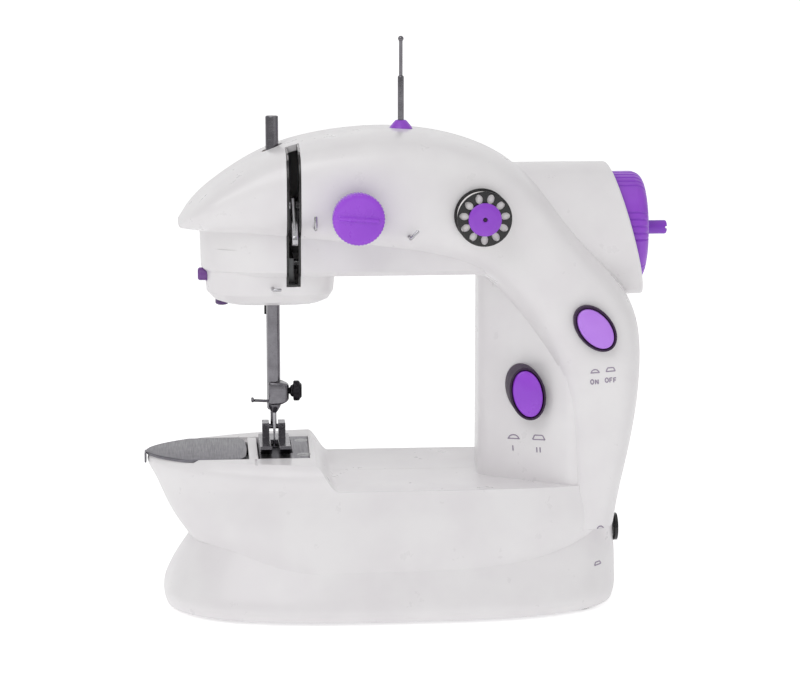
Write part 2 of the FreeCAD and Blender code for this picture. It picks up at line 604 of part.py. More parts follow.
# ---------------------------------------------------------------- bed plates
plate = prism([(-58.2, -19.7), (-39.4, -19.7), (-38.4, 19.7), (-58.2, 19.7)], "z", bed_top_z - plate_t, plate_t)
plate_cuts = [
    rod_z(1.5, 50, 70, needle_x, 0),
    box(-48.5, -45.3, -10.6, 13.4, 50, 70),
    box(-54.1, -49.9, 2.3, 15.4, 50, 70),
]
for y in (-13.0, 13.0):
    plate_cuts.append(rod_z(screw_head_r, bed_top_z - screw_head_h, 70, -41.0, y))
    plate_cuts.append(rod_z(screw_r, 50, 70, -41.0, y))
for piece in plate_cuts:
    plate = plate.cut(piece)
nodes["needle_plate"] = plate
outline = plan_wire(bed_top_z - 1.2, -102.5, 78.0, 35.2, 1.8, 5.0, -25.0)
slide = Part.Face(outline).extrude(V(0, 0, 1.2)).common(box(-110, -58.7, -19.9, 19.9, 50, 70))
nodes["slide_plate"] = slide.fuse(box(-102.9, -102.1, -3.0, 3.0, bed_top_z - 4.5, bed_top_z))

# ---------------------------------------------------------------- needle bar
nodes["needle_bar"] = rod_z(bar_r, 79.0, 190.0, needle_x, 0)
yoke = box(slot_x - 2.2, slot_x + 0.4, -17.0, 17.0, yoke_z - 4.6, yoke_z + 4.6)
yoke = yoke.cut(box(slot_x - 4, slot_x + 2, -15.2, 15.2, yoke_z - 2.1, yoke_z + 2.1))
yoke = yoke.fuse(box(needle_x - 4.0, slot_x - 2.0, -4.4, 4.4, yoke_z - 4.6, yoke_z + 4.6).cut(
    box(slot_x - 3.5, slot_x + 2, -15.2, 15.2, yoke_z - 2.1, yoke_z + 2.1)))
nodes["needle_yoke"] = yoke.cut(rod_z(bar_r, 100, 160, needle_x, 0))
clamp = join([box(needle_x - bar_r + 0.1, -46.2, -4.0, 4.0, 77.0, 86.2), cone_z(1.3, 2.8, 73.6, 77.0, needle_x, 0)])
clamp = clamp.cut(rod_z(bar_r, 79.0, 90, needle_x, 0)).cut(rod_z(0.5, 70, 80, needle_x, 0))
nodes["needle_clamp"] = clamp.cut(rod_x(1.25, -49.7, -40, 0, 82.2))
knob = join([rod_x(4.0, -45.6, -42.4, 0, 82.2), rod_x(3.0, -42.4, -41.2, 0, 82.2), rod_x(1.2, -49.2, -45, 0, 82.2)])
nodes["clamp_screw"] = knob.cut(box(-43.6, -40.0, -0.5, 0.5, 77.0, 88.0))
nodes["needle"] = join([rod_z(0.5, 52.0, 79.0, needle_x, 0), cone_z(0.1, 0.5, 48.8, 52.0, needle_x, 0)])
nodes["needle_guide"] = join([rod_x(0.55, -60.6, -54.4, -2.4, 78.6), rod_y(0.55, -6.0, -2.4, -60.6, 78.6),
                              rod_z(0.55, 78.6, 81.0, -60.6, -6.0), Part.makeSphere(0.55, V(-60.6, -2.4, 78.6)),
                              Part.makeSphere(0.55, V(-60.6, -6.0, 78.6))])

# ---------------------------------------------------------------- take-up lever
reach = 21.0
low_angle = -30.0
arm_piece = join([box(slot_x - 1.0, slot_x + 1.0, pivot_y - reach, pivot_y, pivot_z - 1.6, pivot_z + 1.6),
                  rod_x(3.2, slot_x - 1.0, slot_x + 1.0, pivot_y, pivot_z),
                  rod_x(2.4, slot_x - 1.0, slot_x + 1.0, pivot_y - reach, pivot_z),
                  rod_x(1.5, slot_x - 4.0, slot_x + 4.0, pivot_y, pivot_z)])
arm_piece = arm_piece.cut(rod_x(0.9, slot_x - 3.0, slot_x + 3.0, pivot_y - reach, pivot_z))
arm_piece.rotate(V(0, pivot_y, pivot_z), V(1, 0, 0), -low_angle)
nodes["take_up_lever"] = arm_piece

# ---------------------------------------------------------------- presser
foot_z = bed_top_z + 0.9
presser = join([rod_z(bar_r, 73.0, 163.0, needle_x, 10.0), rod_z(1.2, 66.0, 74.0, needle_x, 10.0),
                rod_x(1.0, needle_x - 4.6, needle_x + 4.6, 10.0, 66.0),
                rod_z(4.6, 131.0, 135.0, needle_x, 10.0),
                box(needle_x - 2.5, needle_x + 2.5, 10.0, 18.5, 131.2, 134.0)])
nodes["presser_bar"] = presser
nodes["presser_spring"] = helix_spring(3.7, 0.5, 2.6, 135.6, 149.4, needle_x, 10.0)
foot = join([
    box(needle_x - 6.0, needle_x + 6.0, 2.2, 14.0, foot_z, foot_z + 1.8),
    box(needle_x - 6.0, needle_x - 1.5, -15.5, 3.0, foot_z, foot_z + 1.8),
    box(needle_x + 1.5, needle_x + 6.0, -15.5, 3.0, foot_z, foot_z + 1.8),
    prism([(-18.6, foot_z + 2.4), (-15.5, foot_z), (-15.5, foot_z + 1.8), (-18.2, foot_z + 3.6)],
          "x", needle_x - 6.0, 4.5),
    prism([(-18.6, foot_z + 2.4), (-15.5, foot_z), (-15.5, foot_z + 1.8), (-18.2, foot_z + 3.6)],
          "x", needle_x + 1.5, 4.5),
    box(needle_x - 4.6, needle_x - 1.8, 6.0, 13.5, foot_z, 68.0),
    box(needle_x + 1.8, needle_x + 4.6, 6.0, 13.5, foot_z, 68.0),
])
nodes["presser_foot"] = foot.cut(rod_x(1.06, needle_x - 8, needle_x + 8, 10.0, 66.0))
lifter = join([rod_x(3.4, needle_x - 3.4, needle_x + 3.4, 17.5, 126.5),
               rod_x(1.5, needle_x - 8.0, needle_x, 17.5, 126.5)])
handle = prism([(16.5, 124.0), (28.0, 117.4), (34.0, 107.0), (37.4, 108.4), (31.0, 120.4), (18.5, 128.9)],
               "x", needle_x - 2.6, 5.2)
nodes["presser_lifter"] = lifter.fuse(handle)

# ---------------------------------------------------------------- thread tension
notches = 48
rim = []
for i in range(2 * notches):
    r = 10.0 - 0.35 * (i % 2)
    angle = math.pi * i / notches
    rim.append((dial_x + r * math.cos(angle), front_z + r * math.sin(angle)))
dial = prism(rim, "y", -45.6, 5.6)
dial = dial.fuse(cone_y(8.9, 9.6, -46.6, -45.6, dial_x, front_z))
dial = dial.fuse(box(dial_x - 8.4, dial_x + 8.4, -47.4, -46.4, front_z - 0.8, front_z + 0.8))
nodes["tension_dial"] = dial.cut(rod_y(2.05, -44.2, -30.0, dial_x, front_z))
nodes["tension_stud"] = rod_y(2.0, -43.8, -31.0, dial_x, front_z)
washer = join([rod_y(7.6, -37.6, -36.9, dial_x, front_z), rod_y(7.6, -38.9, -38.2, dial_x, front_z),
               rod_y(4.0, -38.9, -36.9, dial_x, front_z)])
nodes["tension_discs"] = washer.cut(rod_y(2.0, -50, -30, dial_x, front_z))
wire = 0.6
nodes["thread_guides"] = Part.makeCompound([
    join([rod_y(wire, -40.6, -33.0, -37.2, 150.8), Part.makeCylinder(wire, 5.2, V(-37.2, -40.6, 150.8)),
          Part.makeSphere(wire, V(-37.2, -40.6, 150.8))]),
    join([rod_y(wire, -40.6, -33.0, -1.8, 147.0), Part.makeCylinder(wire, 4.4, V(-1.8, -40.6, 147.0), V(1, 0, 1)),
          Part.makeSphere(wire, V(-1.8, -40.6, 147.0))]),
    join([rod_y(wire, -27.6, -21.0, -53.0, 126.4), rod_x(wire, -53.0, -49.6, -27.6, 126.4),
          Part.makeSphere(wire, V(-53.0, -27.6, 126.4))]),
])

# ---------------------------------------------------------------- front bobbin
nodes["bobbin_spindle"] = rod_y(3.0, -48.6, -32.0, bobbin_x, front_z).cut(
    rod_y(1.35, -60.0, -40.0, bobbin_x, front_z))
bobbin_y = -48.9
spool = join([rod_y(thread_bobbin_r, bobbin_y, bobbin_y + 1.0, bobbin_x, front_z),
              rod_y(thread_bobbin_r, bobbin_y + 10.7, bobbin_y + 11.7, bobbin_x, front_z),
              rod_y(4.2, bobbin_y, bobbin_y + 11.7, bobbin_x, front_z)])
spool = spool.cut(rod_y(shaft_r + 0.06, -60, -30, bobbin_x, front_z))
for i in range(11):
    angle = 2.0 * math.pi * i / 11
    hx = bobbin_x + (thread_bobbin_r - 2.6) * math.cos(angle)
    hz = front_z + (thread_bobbin_r - 2.6) * math.sin(angle)
    spool = spool.cut(rod_y(1.25, bobbin_y - 1, bobbin_y + 1.01, hx, hz))
nodes["thread_bobbin"] = spool
nodes["thread_winding"] = rod_y(thread_bobbin_r - 1.1, bobbin_y + 1.0, bobbin_y + 10.7, bobbin_x, front_z).cut(
    rod_y(4.2, -60, -30, bobbin_x, front_z))
cap = join([rod_y(6.2, -51.2, -49.4, bobbin_x, front_z), rod_y(1.3, -50.0, -42.0, bobbin_x, front_z)])
nodes["bobbin_cap"] = cap.cut(rod_y(0.8, -52.0, -50.4, bobbin_x, front_z))

# ---------------------------------------------------------------- telescopic spool pin
base_pin = join([cone_z(4.6, 2.2, arm_top_z - 0.6, arm_top_z + 3.0, spool_pin_x, 0),
                 rod_z(3.0, 176.5, arm_top_z, spool_pin_x, 0)])
nodes["spool_pin_base"] = base_pin.cut(rod_z(1.25, 170, 200, spool_pin_x, 0))
nodes["spool_pin_tube"] = rod_z(1.2, 177.0, 205.0, spool_pin_x, 0).cut(rod_z(0.75, 170, 210, spool_pin_x, 0))
nodes["spool_pin_rod"] = join([rod_z(0.7, 179.0, 219.0, spool_pin_x, 0),
                               Part.makeSphere(1.1, V(spool_pin_x, 0, 219.2))])

# ---------------------------------------------------------------- buttons and electrics
def button_ring(rx, rz, y0, y1, at, tilt):
    solid = oval_y(rx, rz, y0, y1, at[0], at[1], tilt)
    return solid.cut(oval_y(rx - 0.9, rz - 0.9, y0 - 1, y1 + 1, at[0], at[1], tilt))


def button_body(rx, rz, y0, y1, at, tilt):
    solid = oval_y(rx - 0.9 - gap, rz - 0.9 - gap, y0, y1, at[0], at[1], tilt)
    return solid


nodes["button_rings"] = Part.makeCompound([
    button_ring(6.7, 10.1, -39.3, -28.0, power_at, -40.0),
    button_ring(6.9, 10.4, -32.2, -15.4, speed_at, -12.0)])
nodes["power_button"] = button_body(6.7, 10.1, -40.6, -31.0, power_at, -40.0)
nodes["speed_button"] = button_body(6.9, 10.4, -33.6, -20.0, speed_at, -12.0)
nodes["light_button"] = join([
    rod_x(2.5, -81.2, -73.0, -9.0, light_z),
    rod_x(3.4, -73.6, -72.6, -9.0, light_z)])
nodes["lamp"] = Part.makeCompound([rod_z(2.6, head_under_z - 1.4, 124.0, needle_x - 20.0, -7.0),
                                   rod_z(2.2, head_under_z - 1.0, 124.0, needle_x - 11.0, -7.0)])
nodes["circuit_board"] = Part.makeCompound([
    box(60.0, 77.0, -28.0, -26.4, 100.0, 119.0).fuse(box(64.0, 74.0, -26.4, -21.0, 105.0, 115.0)),
    box(38.0, 51.4, -15.4, -11.4, 73.0, 95.5)])


def jack_at(y):
    barrel = join([rod_x(4.2, 69.0, 81.4, y, 28.0), rod_x(5.4, 80.9, 82.2, y, 28.0),
                   box(68.2, 71.0, y - 5.0, y + 5.0, 23.0, 33.0)])
    return barrel.cut(rod_x(2.8, 72.0, 90.0, y, 28.0)).fuse(rod_x(1.0, 71.0, 80.5, y, 28.0))


nodes["jacks"] = Part.makeCompound([jack_at(-12.0), jack_at(12.0)])
nodes["wires"] = Part.makeCompound([
    lead([(69.0, -17.7, 26.0), (69.0, -22.0, 26.0), (70.0, -22.0, 60.0), (70.0, -25.0, 98.0), (70.0, -25.9, 101.0)], 0.6),
    lead([(69.4, -17.7, 29.4), (67.0, -22.0, 29.0), (67.0, -22.0, 60.0), (66.0, -25.0, 98.0), (66.0, -25.9, 101.0)], 0.6)])

screws = []
for x, z in screw_points:
    screws.append(screw_at(x, z, 6.0))
for y in (-13.0, 13.0):
    screws.append(plate_screw_at(-41.0, y))
nodes["screws"] = Part.makeCompound(screws)

os.makedirs("parts", exist_ok=True)
for name, shape in nodes.items():
    shape.exportStep("parts/" + name + ".step")
    print(name, shape.isValid(), len(shape.Solids), round(shape.Volume, 1))
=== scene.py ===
# %% [markdown]
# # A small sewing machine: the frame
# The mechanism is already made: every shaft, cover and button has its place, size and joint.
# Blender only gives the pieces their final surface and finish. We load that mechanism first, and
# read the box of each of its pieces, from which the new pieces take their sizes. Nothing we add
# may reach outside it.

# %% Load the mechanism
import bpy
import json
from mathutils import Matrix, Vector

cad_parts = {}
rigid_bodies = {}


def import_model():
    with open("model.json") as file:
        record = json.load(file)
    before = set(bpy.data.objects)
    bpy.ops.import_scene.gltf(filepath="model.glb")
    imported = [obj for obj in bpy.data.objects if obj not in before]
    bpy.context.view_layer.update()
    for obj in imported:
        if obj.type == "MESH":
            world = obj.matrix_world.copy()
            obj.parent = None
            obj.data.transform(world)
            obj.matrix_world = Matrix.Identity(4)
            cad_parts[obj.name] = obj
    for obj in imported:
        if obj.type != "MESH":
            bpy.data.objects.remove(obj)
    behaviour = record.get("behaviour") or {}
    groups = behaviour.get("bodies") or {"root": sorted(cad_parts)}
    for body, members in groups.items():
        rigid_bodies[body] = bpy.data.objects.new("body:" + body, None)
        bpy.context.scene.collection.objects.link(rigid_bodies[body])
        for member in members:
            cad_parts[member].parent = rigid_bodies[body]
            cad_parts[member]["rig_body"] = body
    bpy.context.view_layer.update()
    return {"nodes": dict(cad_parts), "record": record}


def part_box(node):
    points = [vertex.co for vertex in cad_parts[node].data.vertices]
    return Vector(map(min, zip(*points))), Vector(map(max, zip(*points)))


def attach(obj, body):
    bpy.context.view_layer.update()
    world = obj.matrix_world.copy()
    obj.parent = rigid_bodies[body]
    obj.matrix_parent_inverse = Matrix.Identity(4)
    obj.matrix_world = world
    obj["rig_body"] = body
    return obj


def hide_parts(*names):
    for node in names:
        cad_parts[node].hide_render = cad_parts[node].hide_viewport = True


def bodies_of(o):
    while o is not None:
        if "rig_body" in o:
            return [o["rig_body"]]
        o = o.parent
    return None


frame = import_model()

import json
import math
import bmesh
import bpy
import numpy as np
from mathutils.bvhtree import BVHTree

MM = 0.001


def limits(node):
    """The lowest and the highest corner of a piece of the mechanism, in millimetres."""
    return (np.array(corner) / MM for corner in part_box(node))


print("pieces of the mechanism:", len(frame["nodes"]))

# %% [markdown]
# # Camera
# The machine stands in front of a long lens, a metre away and a little above the bed, so that
# upright edges stay upright. We place the camera on a sphere about the middle of the machine:
# azimuth turns it round the upright axis and elevation lifts it.

# %% Camera
def aim(thing, target, azimuth, elevation, distance):
    """Puts a camera or lamp on a sphere round the target and points its -Z axis at it."""
    a, e = math.radians(azimuth), math.radians(elevation)
    back = np.array([math.sin(a) * math.cos(e), -math.cos(a) * math.cos(e), math.sin(e)])
    thing.location = np.array(target) + back * distance
    thing.rotation_euler = (math.pi / 2 - e, 0.0, a)


scene = bpy.context.scene
camera = bpy.data.objects.new("camera", bpy.data.cameras.new("camera"))
scene.collection.objects.link(camera)
camera.data.lens = 114.8
camera.data.sensor_width = 36.0
aim(camera, (-2.5 * MM, 0.0, 100.9 * MM), -4.7, 10.0, 1.0)
scene.camera = camera
print("camera at", [round(v, 3) for v in camera.location])

# %% [markdown]
# # Colour and nodes
# Paint and plastic colours are written the way a screen shows them, as hex values. A shader counts
# light instead, so one function turns a hex value into linear numbers. A second small function
# adds a node with its settings and links, which keeps every material short.

# %% Two helpers for materials
def linear(code):
    """Hex sRGB to linear: below 0.04045 divide by 12.92, above it a power curve of 2.4."""
    value = np.array([int(code[i:i + 2], 16) / 255.0 for i in (1, 3, 5)])
    curve = ((value + 0.055) / 1.055) ** 2.4
    return (*np.where(value <= 0.04045, value / 12.92, curve), 1.0)


def add(tree, kind, settings=None, links=None):
    """Adds one node; a setting is an input's value or a property, a link is another's output."""
    node = tree.nodes.new(kind)
    for name, value in (settings or {}).items():
        if name in node.inputs:
            node.inputs[name].default_value = value
        else:
            setattr(node, name, value)
    for name, source in (links or {}).items():
        tree.links.new(source, node.inputs[name])
    return node


def new_finish(name):
    """An empty material: itself, its nodes, its shader and the point in the piece's own space."""
    material = bpy.data.materials.new(name)
    material.use_nodes = True
    tree = material.node_tree
    place = add(tree, "ShaderNodeTexCoord").outputs["Object"]
    return material, tree, tree.nodes["Principled BSDF"], place


def tones(tree, noise, low, high):
    """A colour that goes from one tone to the other while the noise rises between two levels."""
    ramp = add(tree, "ShaderNodeValToRGB", {}, {"Fac": noise.outputs["Fac"]})
    for stop, (level, code) in zip(ramp.color_ramp.elements, (low, high)):
        stop.position, stop.color = level, linear(code)
    return ramp.outputs["Color"]


def connect(tree, shader, **sources):
    """Links each source to the shader's socket of that name, an underscore being a space."""
    for name, source in sources.items():
        tree.links.new(source, shader.inputs[name.replace("_", " ")])


# %% [markdown]
# # Moulded plastic
# The covers are ABS, pushed hot into a polished steel mould. The eye gets a clean gloss, a very
# faint ripple where the plastic shrank (about 7 mm across), a fine skin texture, and edges that
# are never quite sharp. The coloured parts are the same plastic with a pigment. Each plastic
# differs only in colour, gloss and depth of its skin, so one recipe makes all of them.

# %% Plastic
def plastic(name, colour, shade, rough, relief=0.05, grain=0.5, edge=0.35, coat=0.0):
    """Pigment that drifts slowly between two shades, a two-scale skin, rubbed patches."""
    material, tree, shader, place = new_finish(name)
    drift = add(tree, "ShaderNodeTexNoise", {"Scale": 45.0, "Detail": 3.0}, {"Vector": place})
    tint = tones(tree, drift, (0.35, shade), (0.65, colour))
    handled = add(tree, "ShaderNodeTexNoise", {"Scale": 110.0, "Detail": 5.0, "Roughness": 0.65},
                  {"Vector": place})
    gloss = add(tree, "ShaderNodeMapRange", {"From Min": 0.3, "From Max": 0.7,
                "To Min": rough - 0.04, "To Max": rough + 0.07}, {"Value": handled.outputs["Fac"]})
    ripple = add(tree, "ShaderNodeTexNoise", {"Scale": 140.0, "Detail": 1.0}, {"Vector": place})
    fine = add(tree, "ShaderNodeTexNoise", {"Scale": 1000.0 / grain, "Detail": 2.0},
               {"Vector": place})
    soft = add(tree, "ShaderNodeBevel", {"samples": 6, "Radius": edge * MM})
    wave = add(tree, "ShaderNodeBump", {"Strength": 0.04, "Distance": 0.05 * MM},
               {"Height": ripple.outputs["Fac"], "Normal": soft.outputs["Normal"]})
    bump = add(tree, "ShaderNodeBump", {"Strength": relief, "Distance": 0.04 * MM},
               {"Height": fine.outputs["Fac"], "Normal": wave.outputs["Normal"]})
    connect(tree, shader, Base_Color=tint, Roughness=gloss.outputs["Result"],
            Normal=bump.outputs["Normal"])
    shader.inputs["IOR"].default_value = 1.52
    shader.inputs["Coat Weight"].default_value = coat
    shader.inputs["Coat Roughness"].default_value = 0.08
    return material


white_abs = plastic("white_gloss_abs", "#EFEDEE", "#EAE7E9", 0.3, coat=0.15)
purple_abs = plastic("purple_abs", "#9C4AD8", "#8F3FCC", 0.32, coat=0.1)
deep_abs = plastic("deep_purple_abs", "#A24CE2", "#9741D8", 0.28, coat=0.2)
lilac_abs = plastic("lilac_abs", "#C588F5", "#BB7CF0", 0.3, coat=0.2)
ring_abs = plastic("dark_ring_abs", "#32103E", "#270B31", 0.5)
black_abs = plastic("black_gloss_abs", "#141214", "#0E0D0F", 0.22, coat=0.3)
grey_abs = plastic("textured_grey_abs", "#C9C6C9", "#BEBBBE", 0.5, relief=0.5, grain=0.8)
nylon = plastic("natural_nylon", "#E4DFD2", "#D8D2C4", 0.42, relief=0.1)
foot_rubber = plastic("moulded_rubber", "#242324", "#1C1B1C", 0.75, relief=0.5, grain=0.35)
belt_rubber = plastic("belt_rubber", "#1E1D1E", "#161516", 0.6, relief=0.6, grain=0.3)
lens_abs = plastic("smoked_lens", "#5A2B7A", "#4C2168", 0.12, coat=0.4)
print("plastics made")

# %% [markdown]
# # Steel, brass and thread
# The bars are ground rods with a dark chrome plating: nearly a mirror, with fine rings left by the
# grinding. The bed plates are brushed sheet, with lines 0.3 mm apart along the feed. Wear shows as
# paler patches. Brass bushes and cast pieces use the same recipe with other colours.

# %% Metal
def metal(name, colour, worn, rough, stretch=(1.0, 1.0, 1.0), pitch=0.3, edge=0.12, relief=0.12):
    """A conductor: noise squeezed along one axis makes brush lines, a slow noise makes wear."""
    material, tree, shader, place = new_finish(name)
    squeeze = add(tree, "ShaderNodeMapping", {"Scale": stretch}, {"Vector": place})
    lines = add(tree, "ShaderNodeTexNoise", {"Scale": 1000.0 / pitch, "Detail": 2.0},
                {"Vector": squeeze.outputs["Vector"]})
    rubbed = add(tree, "ShaderNodeTexNoise", {"Scale": 160.0, "Detail": 6.0, "Roughness": 0.7},
                 {"Vector": place})
    tint = tones(tree, rubbed, (0.4, colour), (0.72, worn))
    gloss = add(tree, "ShaderNodeMapRange", {"From Min": 0.25, "From Max": 0.75,
                "To Min": max(rough - 0.08, 0.05), "To Max": rough + 0.12},
                {"Value": lines.outputs["Fac"]})
    soft = add(tree, "ShaderNodeBevel", {"samples": 6, "Radius": edge * MM})
    bump = add(tree, "ShaderNodeBump", {"Strength": relief, "Distance": 0.02 * MM},
               {"Height": lines.outputs["Fac"], "Normal": soft.outputs["Normal"]})
    connect(tree, shader, Base_Color=tint, Roughness=gloss.outputs["Result"],
            Normal=bump.outputs["Normal"])
    shader.inputs["Metallic"].default_value = 1.0
    return material


dark_chrome = metal("dark_chrome_plate", "#77757A", "#8B898E", 0.16, (0.2, 0.2, 1.0))
bright_chrome = metal("bright_chrome_plate", "#B9B8BC", "#C9C8CB", 0.15)
brushed_plate = metal("brushed_steel_plate", "#76747A", "#85838A", 0.34, (1.0, 0.03, 1.0),
                      relief=0.3)
needle_steel = metal("polished_needle_steel", "#A9A8AC", "#BDBCC0", 0.18)
ground_steel = metal("ground_steel", "#9A9A9C", "#B0B0B2", 0.25, (0.2, 1.0, 1.0))
black_oxide = metal("blackened_steel", "#2A282C", "#4A484C", 0.3)
brass = metal("sintered_bronze", "#A9834A", "#C09A5C", 0.4)
zinc = metal("cast_zinc", "#8F9092", "#A4A5A6", 0.45, relief=0.3)
motor_steel = metal("zinc_plated_can", "#A7AAAC", "#B9BCBE", 0.3)


# %% Wound thread
def wound_thread():
    """White polyester thread: sheen over a matt body, and plies 0.25 mm apart."""
    material, tree, shader, place = new_finish("polyester_thread")
    plies = add(tree, "ShaderNodeTexNoise", {"Scale": 4000.0, "Detail": 2.0}, {"Vector": place})
    tint = tones(tree, plies, (0.0, "#E6E1DF"), (1.0, "#FBFAF9"))
    bump = add(tree, "ShaderNodeBump", {"Strength": 0.4, "Distance": 0.05 * MM},
               {"Height": plies.outputs["Fac"]})
    connect(tree, shader, Base_Color=tint, Normal=bump.outputs["Normal"])
    shader.inputs["Roughness"].default_value = 0.7
    shader.inputs["Sheen Weight"].default_value = 0.35
    return material


thread_white = wound_thread()
board_green = plastic("circuit_laminate", "#3A6B45", "#2F5C3A", 0.4)
wire_pvc = plastic("red_wire_pvc", "#B23A34", "#A2302B", 0.4)
clear_abs = plastic("clear_abs", "#DFE3E6", "#D6DADD", 0.1, coat=0.5)
ink = plastic("pad_printed_ink", "#A79BB0", "#9D91A6", 0.5)
key_abs = plastic("key_abs", "#7B4A9A", "#6C3E8A", 0.3)
print("finishes:", len(bpy.data.materials))

# %% [markdown]
# # Surfaces from grids
# Almost every moulded or turned piece is one closed skin: a section repeated along a path. If we
# store the skin as a grid of points (rows along the path, columns round the section), numpy can
# work the whole grid out at once, and the faces follow from the numbering of the grid. Flat ends
# are closed with one face each, and the signed volume tells whether the faces look outwards.

# %% Grid to mesh
def skin(name, grids, finish, ring=False, crease=32.0):
    """Closed skins from grids of millimetre points. ring joins the last row to the first;
    otherwise both end rows become flat caps. A negative volume (the sum of the tetrahedra from
    the origin to each triangle) means the faces look inwards, and the rows are then reversed."""
    points, faces, start = [], [], 0
    for grid in grids if isinstance(grids, list) else [grids]:
        rows, columns = grid.shape[:2]
        index = np.arange(rows * columns).reshape(rows, columns)
        near = index if ring else index[:-1]
        far = np.roll(index, -1, 0) if ring else index[1:]
        quads = np.stack([near, np.roll(near, -1, 1), np.roll(far, -1, 1), far], -1).reshape(-1, 4)
        flat = grid.reshape(-1, 3)
        a, b, c, d = (flat[quads[:, i]] for i in range(4))
        volume = (np.cross(a, b) * c).sum() + (np.cross(a, c) * d).sum()
        if not ring:
            low, high = grid[0], grid[-1]
            volume -= (np.cross(low, np.roll(low, -1, 0)) @ low.mean(0)).sum()
            volume += (np.cross(high, np.roll(high, -1, 0)) @ high.mean(0)).sum()
        caps = [] if ring else [index[0][::-1].tolist(), index[-1].tolist()]
        made = quads.tolist() + caps
        if volume < 0:
            made = [face[::-1] for face in made]
        points.append(flat)
        faces += [[start + v for v in face] for face in made]
        start += len(flat)
    mesh = bpy.data.meshes.new(name)
    mesh.from_pydata((np.concatenate(points) * MM).tolist(), [], faces)
    return dress(name, mesh, finish, crease)


def dress(name, mesh, finish, crease=32.0):
    """Smooth shading up to the crease angle, one finish, and the object itself."""
    mesh.materials.clear()
    mesh.materials.append(finish)
    mesh.shade_smooth()
    mesh.set_sharp_from_angle(angle=math.radians(crease))
    thing = bpy.data.objects.new(name, mesh)
    scene.collection.objects.link(thing)
    return thing


def body_of(node):
    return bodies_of(frame["nodes"][node])[0]


def stand_for(piece, slot, *nodes):
    """The piece rides with the body of the nodes it replaces, and those are hidden. slot is not
    used.
    """
    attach(piece, body_of(nodes[0]))
    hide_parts(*nodes)
    return piece


def join_skins(name, things):
    """One object from several separate closed skins, each keeping its own finish."""
    with bpy.context.temp_override(active_object=things[0], selected_editable_objects=things):
        bpy.ops.object.join()
    things[0].name = name
    return things[0]


# %% [markdown]
# # Curves that the skins are made of
# A moulded outline is a squared ellipse, and along the body its sizes change as a smooth spline,
# the way a modeller would draw a hull from a few stations. Corners of turned pieces get a small
# round, because no lathe or mould leaves a true edge.

# %% Outlines
def squared(n, count):
    """Unit squared ellipse, in polar form: radius = (|cos|^n + |sin|^n)^(-1/n) at each angle.
    n may be a pair, for the left and the right half."""
    angle = 2.0 * np.pi * (np.arange(count) + 0.5) / count
    c, s = np.cos(angle), np.sin(angle)
    power = np.where(c > 0, n[1], n[0]) if isinstance(n, tuple) else n
    reach = (np.abs(c) ** power + np.abs(s) ** power) ** (-1.0 / power)
    return reach * c, reach * s


def spline(knots, values, at):
    """Natural cubic spline: its second derivatives solve one linear system, so that slope and
    curvature run through every station without a break."""
    h = np.diff(knots)
    size = len(knots)
    system = np.eye(size)
    inner = np.arange(1, size - 1)
    system[inner, inner - 1] = h[:-1]
    system[inner, inner] = 2.0 * (h[:-1] + h[1:])
    system[inner, inner + 1] = h[1:]
    slope = np.diff(values, axis=0) / h[:, None]
    right = np.zeros_like(values)
    right[1:-1] = 6.0 * (slope[1:] - slope[:-1])
    bend = np.linalg.solve(system, right)
    i = np.clip(np.searchsorted(knots, at) - 1, 0, size - 2)
    t, w = (at - knots[i])[:, None], h[i][:, None]
    rise = slope[i] - w * (2.0 * bend[i] + bend[i + 1]) / 6.0
    return values[i] + rise * t + bend[i] * t ** 2 / 2 + (bend[i + 1] - bend[i]) * t ** 3 / (6 * w)


def rounded(points, radius, steps=5, closed=False):
    """A polyline with each corner replaced by a parabola that starts and ends at most radius
    (and at most 0.45 of a side) from the corner: (1-t)^2 a + 2t(1-t) corner + t^2 b."""
    points = np.array(points, float)
    before, after = np.roll(points, 1, 0), np.roll(points, -1, 0)
    t = np.linspace(0.0, 1.0, steps)[None, :, None]

    def towards(other):
        side = other - points
        length = np.maximum(np.linalg.norm(side, axis=1, keepdims=True), 1e-9)
        return points + side / length * np.minimum(radius, 0.45 * length)

    a, b = towards(before)[:, None], towards(after)[:, None]
    bent = (1 - t) ** 2 * a + 2 * t * (1 - t) * points[:, None] + t ** 2 * b
    if closed:
        return bent.reshape(-1, points.shape[1])
    return np.concatenate([points[:1], bent[1:-1].reshape(-1, points.shape[1]), points[-1:]])


def turned(profile, axis, centre, columns=96, wave=None):
    """A lathe skin: each profile point (along, radius) goes round the axis. wave changes the
    radius as a function of (along, radius, angle). Angle 0 is the next axis after this one."""
    along, radius = np.array(profile, float).T
    angle = 2.0 * np.pi * np.arange(columns) / columns
    reach = np.repeat(radius[:, None], columns, 1)
    if wave is not None:
        reach = reach + wave(along[:, None], radius[:, None], angle[None, :])
    k = "xyz".index(axis)
    grid = np.zeros((len(along), columns, 3))
    grid[..., k] = along[:, None]
    grid[..., (k + 1) % 3] = centre[(k + 1) % 3] + reach * np.cos(angle)
    grid[..., (k + 2) % 3] = centre[(k + 2) % 3] + reach * np.sin(angle)
    return grid


